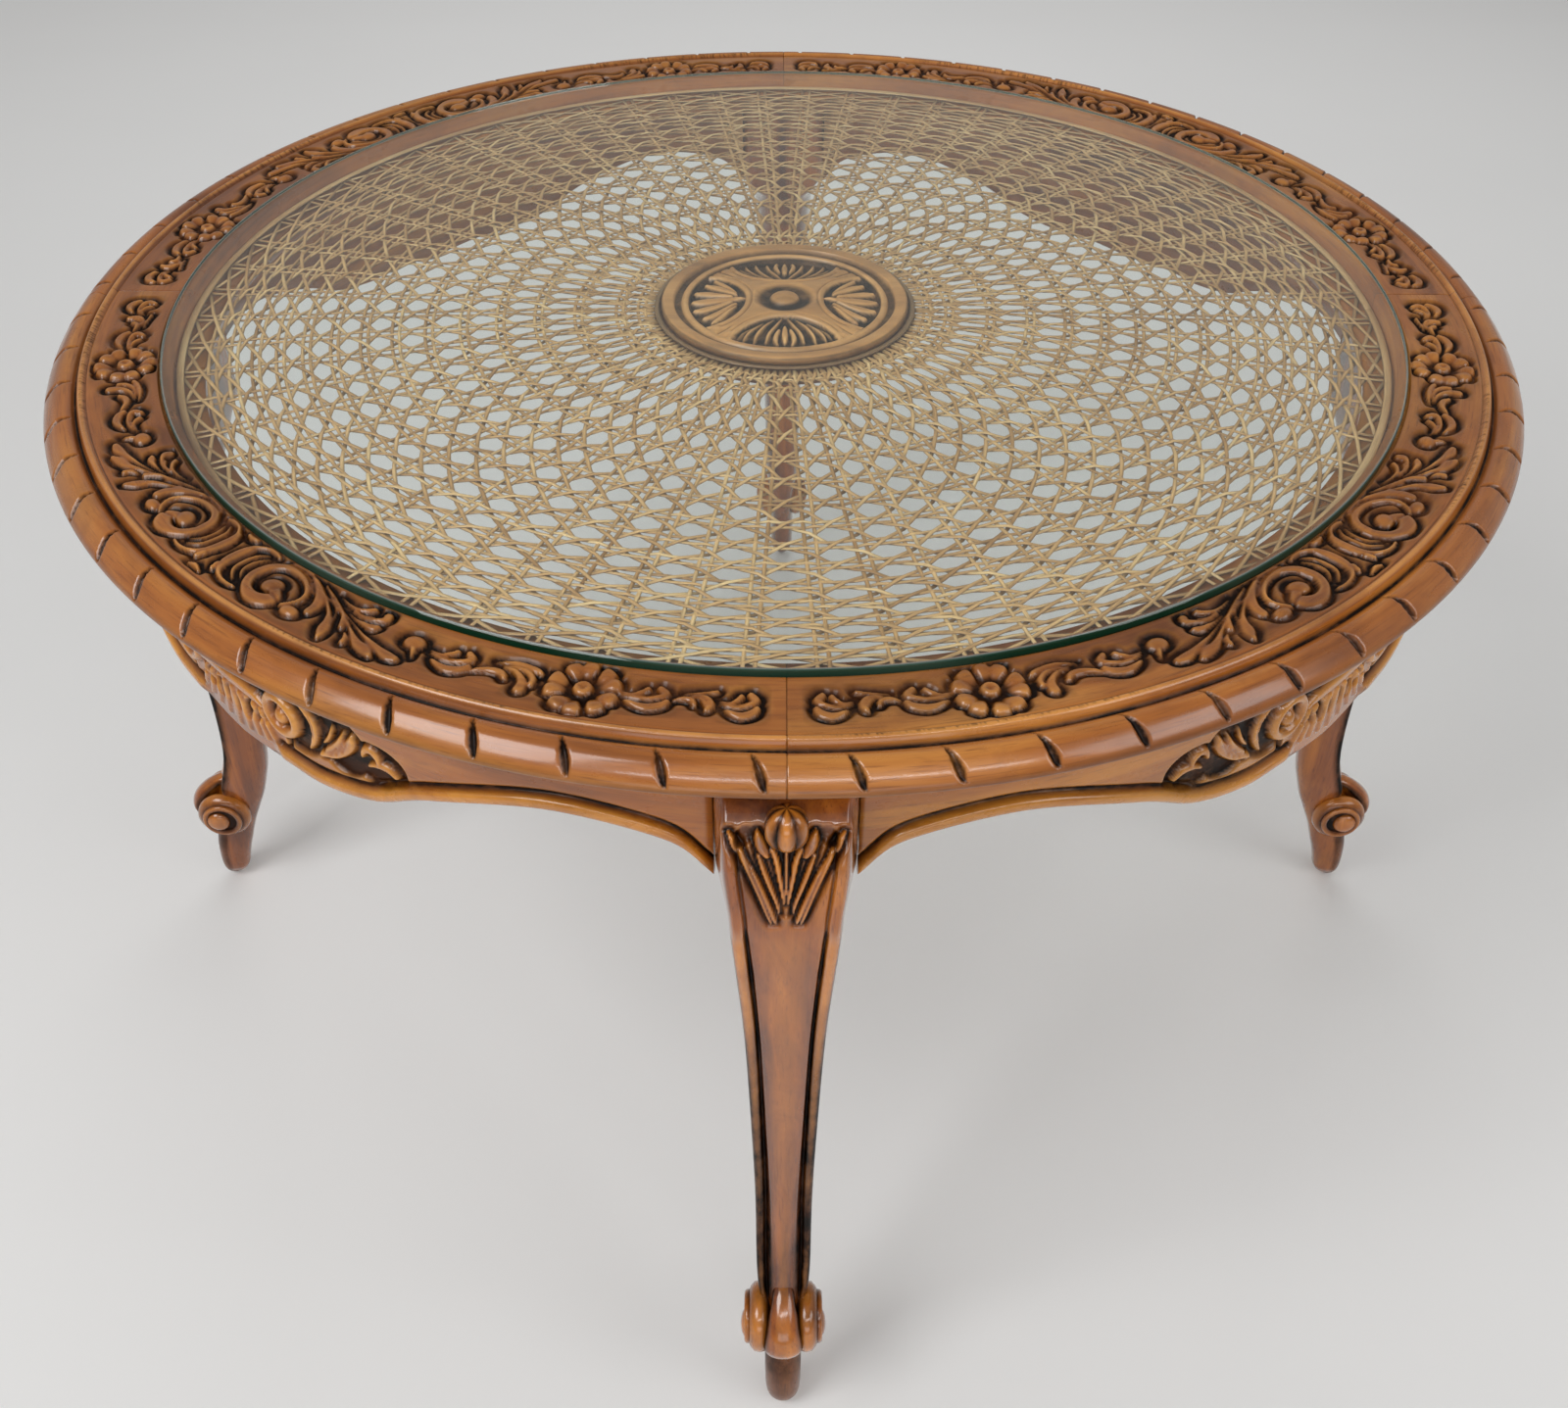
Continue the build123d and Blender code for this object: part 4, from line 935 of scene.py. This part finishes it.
    m = 26
    q = np.linspace(0, 1, m + 2)[1:-1]
    edge_r = fr[:, -1]
    theta = math.pi * q
    square = smoothstep((z - 418) / 22)[:, None]
    soft_y = half[:, None] * np.sign(np.cos(theta))[None, :] * np.abs(np.cos(theta))[None, :] ** 0.75
    soft_r = edge_r[:, None] - (edge_r - back)[:, None] * np.sin(theta)[None, :] ** 0.8
    hard_r = edge_r[:, None] - (edge_r - back)[:, None] * np.clip(np.minimum(q, 1 - q) * 3.4, 0, 1)[None, :]
    wide = np.clip((edge_r[:, None] - hard_r) / np.maximum(edge_r[:, None] - 423.0, 0.5), 0, 1)
    hard_half = half[:, None] + (side_half - half)[:, None] * wide
    hard_y = hard_half * np.clip(1.5 * (1 - 2 * q) * 1.35, -1, 1)[None, :]
    by = soft_y * (1 - square) + hard_y * square
    br = soft_r * (1 - square) + hard_r * square
    back_ring = np.stack([br, by, np.repeat(fz[:, -1:], m, 1)], -1)
    ring = np.concatenate([front_ring, back_ring], 1)
    pad = np.zeros((len(z), m))
    # Slight painted shade on the back of the leg.
    shade_and_glaze = np.concatenate([shade_and_glaze, pad + 0.12], 1)
    wear_and_highlight = np.concatenate([wear_and_highlight, pad], 1)
    return ring, shade_and_glaze, wear_and_highlight


def bud_rings(centre, half_width, half_height):
    """The fluted bud at the top of the knee."""
    rows, around = 30, 60
    t = np.linspace(0.02, math.pi - 0.02, rows)
    a = np.linspace(0, 2 * math.pi, around, endpoint=False)
    T, P = np.meshgrid(t, a, indexing="ij")
    flute = 1 - 0.16 * (1 - np.abs(np.sin(3.0 * P + math.pi / 2)) ** 0.7) * np.sin(T) ** 0.6
    r = centre[0] + half_width * np.sin(T) * np.cos(P) * flute
    y = half_width * np.sin(T) * np.sin(P) * flute
    zz = centre[1] + half_height * np.cos(T)
    # Painted shade in the flutes, painted highlight on the ridges between them.
    shade_and_glaze = 1 - np.abs(np.sin(3.0 * P + math.pi / 2)) ** 1.1
    wear_and_highlight = np.abs(np.sin(3.0 * P + math.pi / 2)) * 0.7
    return np.stack([r, y, zz], -1), np.clip(shade_and_glaze * 1.1, 0, 1), wear_and_highlight


def build_legs():
    parts = Parts()
    ring, shade_and_glaze, wear_and_highlight = leg_rings()
    parts.add(ring, shade_and_glaze, wear_and_highlight, flip=True)
    parts.add(*bud_rings(BUD_CENTRE, 10.8, 12.2), flip=True)
    for side in (-1, 1):
        for centre, rows, segments in ((SCROLL_CENTRE, SCROLL_LOBE, 48), (SCROLL_CENTRE, SCROLL_DISC, 48),
                                       (EYE_CENTRE, SCROLL_EYE, 40)):
            rows = np.array(rows)
            g, w = (np.repeat(rows[:, k, None], segments, 1) for k in (2, 3))
            parts.add(lathe(centre, rows[:, :2] * (side, 1), segments), g, w, flip=side > 0)
    toe_out = smooth_line(TOE, 5)
    toe_half = np.interp(toe_out[:, 1], *zip(*TOE_HALF))
    inner = (452.0, 74.0)
    rows = []
    s = np.linspace(-1, 1, 21)
    for (r, zz), h in zip(toe_out, toe_half):
        dr, dz = r - inner[0], zz - inner[1]
        length = math.hypot(dr, dz)
        sink = h * (1 - np.sqrt(np.clip(1 - s ** 2, 0, 1))) * 0.75
        front_r = r - dr / length * sink
        front_z = zz - dz / length * sink
        back_r = [r - dr / length * TOE_DEPTH] * 2
        back_z = [zz - dz / length * TOE_DEPTH] * 2
        rows.append(np.stack([np.concatenate([front_r, back_r]), np.concatenate([h * s, [h * 0.7, -h * 0.7]]),
                              np.concatenate([front_z, back_z])], -1))
    toe = np.array(rows)
    # Painted shade along the toe's sides and towards its lower end where it curls under; painted highlight
    # along its middle.
    g = np.zeros(toe.shape[:2])
    g[:, 0] = g[:, 20] = 1.0
    g[:, 1] = g[:, 19] = 0.7
    g[:, 2] = g[:, 18] = 0.3
    g += np.clip((72 - toe_out[:, 1]) / 16, 0, 0.8)[:, None]
    w = np.zeros(toe.shape[:2])
    w[:, 6:15] = 0.35
    parts.add(toe, g, w, flip=True)
    v, faces, shade_and_glaze, wear_and_highlight = parts.arrays()
    for index, (name, start) in enumerate(LEGS.items()):
        grain = np.stack([v[:, 2] * MM + 0.9 * index, v[:, 1] * MM + 0.37 * index, v[:, 0] * MM], -1)
        obj = make_mesh("leg_wood_" + name, turn(v, start), faces, {"shade_and_glaze": shade_and_glaze, "wear_and_highlight": wear_and_highlight}, LEG_WOOD,
                        grain=grain)
        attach(obj, "table")
        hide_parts("leg_" + name)


# ---------------------------------------------------------------- medallion

# Carving of the four arched fields: rows are (distance out from the axis, distance to the side, half width).
FAN_RIBS = (
    ((26, 1.8, 1.0), (33, 5.2, 1.4), (42, 9.6, 1.6), (51, 11.4, 1.2)),
    ((27, 6.8, .9), (34, 12.6, 1.4), (43, 17, 1.6), (52, 18.6, 1.1)),
    ((30.5, 13.4, .9), (37, 19.6, 1.3), (44, 23.6, 1.4), (51.5, 25.2, .9)),
    ((35.5, 20.5, .8), (41, 25.8, 1.1), (47, 28.8, .8)),
)
PALMETTE = (
    ((36, 0, 1.6), (43, 0, 2.4), (49, 0, 1.8), (53, 0, .8)),
    ((38, 3.4, 1.2), (44, 5.2, 1.9), (49, 5.6, 1.7), (53.5, 4.4, .9)),
)
ACANTHUS_LOBES = (
    ((56, 0, 2.6), (50, 0, 4.4), (42, 0, 4.2), (33, 0, 2.6), (25, 0, 1.0)),
    ((55, 11.5, 2.2), (49.5, 10.4, 3.6), (42, 7.6, 2.8), (33, 3.4, 1.4)),
    ((49, 21.5, 2.0), (43.5, 18.4, 3.2), (37, 12.6, 2.4), (30, 5.6, 1.1)),
    ((44, 27.5, 1.4), (39.5, 22.0, 2.2), (34, 14.4, 1.5), (30, 8.6, .9)),
)
ARCH_CENTRE = 57.6
ARCH_RADIUS = 34.1
MEDALLION_RADIUS = 79.0
FIELD_RADIUS = 61.2
STAR_DISH_RADIUS = 21
# (radius, height) of the turned ground, and of the boss above it.
MEDALLION_GROUND = ((0, 527.2), (20, 526.8), (60.4, 522.7), (61.4, 523.3), (66.8, 523.0), (70.6, 523.0),
                    (71.4, 526.4), (77.8, 526.8), (MEDALLION_RADIUS, 525.6))
BOSS = ((0, 2.7), (2.5, 2.5), (5, 1.9), (7.5, 0.8), (9.2, -0.6), (10.4, -2.5), (12, -2.4), (15, -1.4),
        (18, -0.2), (21, 0.9))
MEDALLION_BACK = ((79.3, 524.5), (79.0, 521.6), (50.0, 519.6), (0.6, 519.6))


def medallion_field(R, T):
    """The carved field inside the bead, as heights above the turned ground."""
    q = np.radians((np.degrees(T) + 45.0) % 90.0 - 45.0)
    outward, across = 0.965 * R * np.cos(q), np.abs(0.965 * R * np.sin(q))
    facing_side = (np.round(np.degrees(T) / 90.0).astype(int) % 2) == 0
    arch = np.hypot(outward - ARCH_CENTRE, across)
    fan = Relief(outward, across, 2.6, 2.0)
    for points in FAN_RIBS:
        fan.ridge(points, 0.5)
    for points in PALMETTE:
        fan.ridge(points, 1.2)
    leaf = Relief(outward, across, 2.6, 2.0)
    for points in ACANTHUS_LOBES:
        leaf.ridge(points, 1.3)
    motif = np.where(facing_side, leaf.form, fan.form)
    ground = 0.9 - 3.4 * smoothstep((ARCH_RADIUS - arch) / 1.4)
    lip = 0.5 * bell(arch - ARCH_RADIUS - 1.6, 0.9) - 1.2 * bell(arch - ARCH_RADIUS - 3.4, 0.6)
    star = np.where(arch > ARCH_RADIUS - 1.4, ground + lip * (R > STAR_DISH_RADIUS), ground)
    field = np.maximum(star, np.where(arch < ARCH_RADIUS - 0.8, motif, -9.0))
    from_point = R * (math.pi / 4 - np.abs(q))
    curl = np.hypot(R - 56.0, from_point - 5.0)
    field = np.maximum(field, np.where(curl < 3.8, -1 + 2.6 * swell(curl / 3.8), -9.0))
    field = field - 1.5 * bell(from_point, 0.9) * smoothstep((R - 44) / 6)
    return np.where(R < STAR_DISH_RADIUS, np.interp(R, *zip(*BOSS)), field)


def build_medallion():
    """The carved and turned cap over the middle of the cane."""
    step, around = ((0.75, 400))
    radii = np.concatenate([[0.6], np.arange(1.6, MEDALLION_RADIUS, step), [MEDALLION_RADIUS]])
    t = np.linspace(0, 2 * math.pi, around, endpoint=False)
    R, T = np.meshgrid(radii, t, indexing="ij")
    base = np.interp(R, *zip(*MEDALLION_GROUND))
    bead = 2.5 * swell((R - 64.0) / 2.4)
    inside = R < FIELD_RADIUS
    carved = np.where(inside, medallion_field(R, T), 0)
    h = box_blur(carved * smoothstep((FIELD_RADIUS + 0.2 - R) / 1.0), 1)
    # Painted shade and glaze in the carving, painted highlight and rubbing on its crests.
    cavity, wear_and_highlight = shade_of(np.where(inside, h, bead), 2.4, 6)
    shade_and_glaze = np.clip(0.6 * cavity + np.where(inside, np.clip((0.2 - h) / 2.0, 0, 1), 0), 0, 1)
    # Painted shade in the sunk channel outside the bead.
    shade_and_glaze = np.where((R > 66.2) & (R < 71.2), 0.8, shade_and_glaze)
    # Painted shade in the line at the edge of the carved field.
    shade_and_glaze = np.where((R > 60.8) & (R < 61.8), 0.9, shade_and_glaze)
    # Painted highlight on all that is not shaded.
    wear_and_highlight = np.clip(wear_and_highlight + 0.35 * (1 - shade_and_glaze), 0, 1)
    # Painted shade on the outer edge.
    shade_and_glaze = np.where(R > 78.3, 0.6, shade_and_glaze)
    top = np.stack([R * np.cos(T), R * np.sin(T), base + h + bead], -1)
    back_r, back_z = (np.array(column)[:, None] for column in zip(*MEDALLION_BACK))
    back = np.stack([back_r * np.cos(t), back_r * np.sin(t), np.repeat(back_z, around, 1)], -1)
    rings = np.concatenate([top, back], 0)
    pad = np.zeros((len(MEDALLION_BACK), around))
    # Painted shade on the underside.
    shade_and_glaze = np.concatenate([shade_and_glaze, pad + 0.4], 0)
    wear_and_highlight = np.concatenate([wear_and_highlight, pad], 0)
    v = rings.reshape(-1, 3)
    grain = v * MM + (3.1, 0.2, 0)
    faces = capped(len(rings), around, 0, True)
    obj = make_mesh("medallion_wood", v, faces, {"shade_and_glaze": shade_and_glaze, "wear_and_highlight": wear_and_highlight}, MEDALLION_WOOD, grain=grain)
    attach(obj, "table")
    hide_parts("medallion")


# ---------------------------------------------------------------- cane

CANE_Z = 520.3
SECTORS = 64
SECTOR = 360.0 / SECTORS
RING_ROWS = sorted([357 - 11.5 * j - 0.6 * j * j for j in range(14)] + [92.0])
OUTER_END = 375.0
INNER_END = 83.0
STRAND = 2.5
STRAND_THICK = 0.95
STRAND_SECTION = ((-0.5, -0.35), (-0.46, 0.12), (0.0, 0.5), (0.46, 0.12), (0.5, -0.35))
BINDER_SECTION = ((-0.5, -0.4), (-0.44, 0.1), (-0.2, 0.42), (0.2, 0.42), (0.44, 0.1), (0.5, -0.4))
# CAD node, radius, width, thickness and painted shade on the top of the two binder canes.
BINDERS = (("outer_binder", 375.4, 4.8, 1.6, 0.25), ("inner_binder", 82.2, 3.4, 1.4, 0.85))


def ribbon(points, width):
    """One cane strand along points x, y, z: a ribbon with a domed upper face."""
    d = np.gradient(points[:, :2], axis=0)
    d /= np.maximum(np.linalg.norm(d, axis=1), 1e-9)[:, None]
    side = np.stack([-d[:, 1], d[:, 0], np.zeros(len(points))], 1)
    up = np.array([0, 0, 1.0])
    return np.stack([points + side * a * width + up * b * STRAND_THICK for a, b in STRAND_SECTION], 1)


class Weave:
    """Many strands kept as one mesh."""

    def __init__(self):
        self.v, self.f, self.grain, self.shade_and_glaze, self.count, self.strand = [], [], [], [], 0, 0

    def add(self, points, width):
        rings = ribbon(points, width)
        rows, around = rings.shape[:2]
        self.v.append(rings.reshape(-1, 3))
        self.f += capped(rows, around, self.count, True)
        length = np.concatenate([[0], np.cumsum(np.linalg.norm(np.diff(points, axis=0), axis=1))]) * MM
        across = np.linspace(-1, 1, around) * width * 0.5 * MM
        self.grain.append(np.stack([np.repeat(length[:, None], around, 1) + self.strand * 0.37,
                                    np.repeat(across[None, :], rows, 0) + self.strand * 0.011,
                                    np.full((rows, around), self.strand * 0.053)], -1).reshape(-1, 3))
        # Painted shade: darker where a strand dips under others and along its edges.
        low = np.clip((0.6 - (points[:, 2] - CANE_Z)) / 2.2, 0, 1)
        edge = np.abs(np.linspace(-1, 1, around)) ** 1.7
        self.shade_and_glaze.append(np.clip(0.6 * low[:, None] + edge[None, :], 0, 1).ravel())
        self.count += rows * around
        self.strand += 1

    def build(self, name):
        shade_and_glaze = {"shade_and_glaze": np.concatenate(self.shade_and_glaze)}
        obj = make_mesh(name, np.concatenate(self.v), self.f, shade_and_glaze, CANE, grain=np.concatenate(self.grain))
        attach(obj, "table")
        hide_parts("cane_panel")


def polar(r, degrees, z):
    a = np.radians(degrees)
    return np.stack([r * np.cos(a), r * np.sin(a), z], -1)


def pair_gap(r):
    """Half the distance between the two strands of a radial pair."""
    return np.interp(r, (84, 240, 377), (1.5, 2.95, 3.0))


def build_radials():
    weave = Weave()
    for k in range(SECTORS):
        for side in (-1, 1):
            rs, zs = [374.5], [0.3]
            for j, ring in list(enumerate(RING_ROWS))[::-1]:
                sign = 1 if (j + k + (side > 0)) % 2 else -1
                rs += [ring + 3.2, ring, ring - 3.2]
                zs += [0.25 * sign, 0.55 * sign, 0.25 * sign]
            rs, zs = np.array(rs + [INNER_END]), np.array(zs + [0.2])
            offset = np.degrees(side * pair_gap(rs) / rs)
            width = np.interp(rs.mean(), (80, 377), (2.2, STRAND))
            weave.add(polar(rs, (k + 0.5) * SECTOR + offset, CANE_Z + zs), width)
    weave.build("cane_radials")


def build_rings():
    weave = Weave()
    steps = SECTORS * 5
    t = np.arange(steps) * 360.0 / steps
    from_pair = (t % SECTOR) - SECTOR / 2
    sector = np.floor(t / SECTOR).astype(int)
    for j, ring in enumerate(RING_ROWS):
        gap = np.degrees(pair_gap(ring) / ring)
        first, second = np.abs(from_pair + gap), np.abs(from_pair - gap)
        over = np.where((j + sector) % 2 == 0, 1, -1)
        height = np.where(first < second, over, -over) * bell(np.minimum(first, second), gap * 1.1) * 0.6
        for side in (-1, 1):
            weave.add(polar(np.full_like(t, ring + side * 2.3), t, CANE_Z + height * side), 2.3)
    weave.build("cane_rings")


def build_diagonals(hand, name):
    """Strands that cross half a sector between one ring and the next gap, over or under all they meet."""
    weave = Weave()
    rings = RING_ROWS[::-1]
    mids = [(a + b) / 2 for a, b in zip(rings[:-1], rings[1:])]
    radii = np.array([OUTER_END] + sorted(rings + mids, reverse=True) + [INNER_END])
    kinds = np.array([0] + [1, -1] * len(mids) + [1, 0])
    turns = (np.arange(len(radii)) - 1) * SECTOR / 2
    turns[0] = -SECTOR / 2 * (OUTER_END - rings[0]) / (rings[0] - mids[0])
    turns[-1] = turns[-2] + SECTOR / 2 * 0.6
    line = smooth_line(np.stack([radii, turns], 1), 2)
    lift = np.zeros(len(line))
    lift[::2] = kinds * 1.3 * hand
    lift[1::2] = 0.15 * hand
    for k in range(SECTORS):
        weave.add(polar(line[:, 0], k * SECTOR + hand * line[:, 1], CANE_Z + lift), 2.45)
    weave.build(name)


def build_binder(node, radius, width, thick, top_shade):
    t = np.linspace(0, 360, 400, endpoint=False)
    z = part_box(node)[0].z / MM + thick * 0.5
    rings = np.stack([polar(np.full_like(t, radius + a * width), t, np.full_like(t, z + b * thick))
                      for a, b in BINDER_SECTION], 1)
    around = len(BINDER_SECTION)
    grain = np.stack([np.repeat(np.radians(t) * radius * MM, around),
                      np.tile([a * width * MM for a, _ in BINDER_SECTION], len(t)),
                      np.full(len(t) * around, radius * MM)], -1)
    # Painted shade along the binder's edges and, by the given amount, on its top.
    shade_and_glaze = np.tile([0.9] + [top_shade] * (around - 2) + [0.9], len(t))
    faces = [loop_faces(len(t), around, closed=True)]
    obj = make_mesh(node + "_cane", rings.reshape(-1, 3), faces, {"shade_and_glaze": shade_and_glaze}, CANE, grain=grain)
    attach(obj, "table")
    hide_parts(node)


# ---------------------------------------------------------------- frame pieces kept from the CAD

KEPT_FINISH = {"apron_dowels": INNER_WOOD, "rim_dowels": INNER_WOOD, "hub_plate": HUB_WOOD,
               "rim_screws": STEEL, "hub_screws": STEEL, "glass_top": GLASS}


def finish_kept():
    """Materials for the CAD pieces that no visual piece replaces."""
    for name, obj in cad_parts.items():
        material = INNER_WOOD if name.startswith("glue_block") else KEPT_FINISH.get(name)
        if material is not None:
            obj.data.materials.clear()
            obj.data.materials.append(material)


# ---------------------------------------------------------------- studio

def pale_floor(name, colour):
    """A floor of one pale colour with a faint cloudiness."""
    f = Finish(name)
    co = f.place()
    cloud = f.noise(co, 2.0, 3.0)
    darker = tuple(c * 0.97 for c in colour[:3]) + (1,)
    f.link(f.mix(f.span(cloud, 0.35, 0.65, 0.0, 0.5), colour, darker), "Base Color")
    f.link(0.55, "Roughness")
    return f.material


def softbox(name, place, target, size, power):
    light = bpy.data.lights.new(name, "AREA")
    light.shape = "RECTANGLE"
    light.size, light.size_y = size
    light.energy = power
    obj = bpy.data.objects.new(name, light)
    bpy.context.scene.collection.objects.link(obj)
    obj.location = place
    obj.rotation_euler = (Vector(target) - Vector(place)).to_track_quat("-Z", "Y").to_euler()
    return obj


FLOOR_HALF = 14.0
FLOOR_GAP = 0.0005
# Name, place, target, size and power of the lights.
LIGHTS = (
    ("key", (-1.7, -1.5, 2.6), (0, 0, 0.4), (1.5, 1.5), 40),
    ("fill", (2.0, -1.4, 1.7), (0, 0, 0.35), (1.4, 1.0), 12),
    ("back", (0.1, 2.4, 1.9), (0, 0, 0.5), (2.4, 1.2), 16),
    ("strip", (0.3, -3.0, 2.9), (0, 0, 0.45), (3.4, 0.2), 22),
    ("low", (0.0, -2.6, 0.7), (0, 0, 0.3), (2.0, 0.6), 6),
)


def studio():
    """Pale floor, even surroundings and soft lights; the back light is kept out of the glass."""
    mesh = bpy.data.meshes.new("floor")
    corners = [(x * FLOOR_HALF, y * FLOOR_HALF, 0) for x, y in ((-1, -1), (1, -1), (1, 1), (-1, 1))]
    mesh.from_pydata(corners, [], [(0, 1, 2, 3)])
    floor = bpy.data.objects.new("floor", mesh)
    bpy.context.scene.collection.objects.link(floor)
    mesh.materials.append(pale_floor("pale_floor", (0.88, 0.88, 0.875, 1)))
    floor.location.z = -FLOOR_GAP
    world = bpy.data.worlds.new("studio")
    world.use_nodes = True
    background = world.node_tree.nodes["Background"]
    background.inputs["Color"].default_value = (1.0, 0.99, 0.975, 1)
    background.inputs["Strength"].default_value = 0.32
    bpy.context.scene.world = world
    for name, place, target, size, power in LIGHTS:
        light = softbox(name, place, target, size, power)
        light.visible_glossy = light.visible_transmission = name != "back"
    bpy.context.scene.view_settings.view_transform = "Standard"
    bpy.context.scene.view_settings.look = "None"
    bpy.context.scene.view_settings.exposure = 0.0


CAMERA_PLACE = (-0.00446, -0.98315, 1.02833)
CAMERA_DOWN, CAMERA_YAW, CAMERA_ROLL = math.radians(40.575), math.radians(-0.316), math.radians(0.315)


def camera():
    """The camera where the photo's perspective puts it."""
    data = bpy.data.cameras.new("camera")
    data.sensor_width = 36.0
    data.lens = 38.24
    obj = bpy.data.objects.new("camera", data)
    bpy.context.scene.collection.objects.link(obj)
    spin = Matrix.Rotation(CAMERA_YAW, 3, "Z")
    forward = spin @ Vector((0, math.cos(CAMERA_DOWN), -math.sin(CAMERA_DOWN)))
    level = spin @ Vector((1, 0, 0))
    upright = level.cross(forward)
    right = math.cos(CAMERA_ROLL) * level + math.sin(CAMERA_ROLL) * upright
    up = -math.sin(CAMERA_ROLL) * level + math.cos(CAMERA_ROLL) * upright
    axes = Matrix((right, up, -forward)).transposed()
    obj.matrix_world = Matrix.Translation(CAMERA_PLACE) @ axes.to_4x4()
    bpy.context.scene.camera = obj


build_rim()
build_aprons()
build_legs()
build_medallion()
build_radials()
build_rings()
build_diagonals(1, "cane_diagonals_left")
build_diagonals(-1, "cane_diagonals_right")
for binder in BINDERS:
    build_binder(*binder)
finish_kept()
studio()
camera()
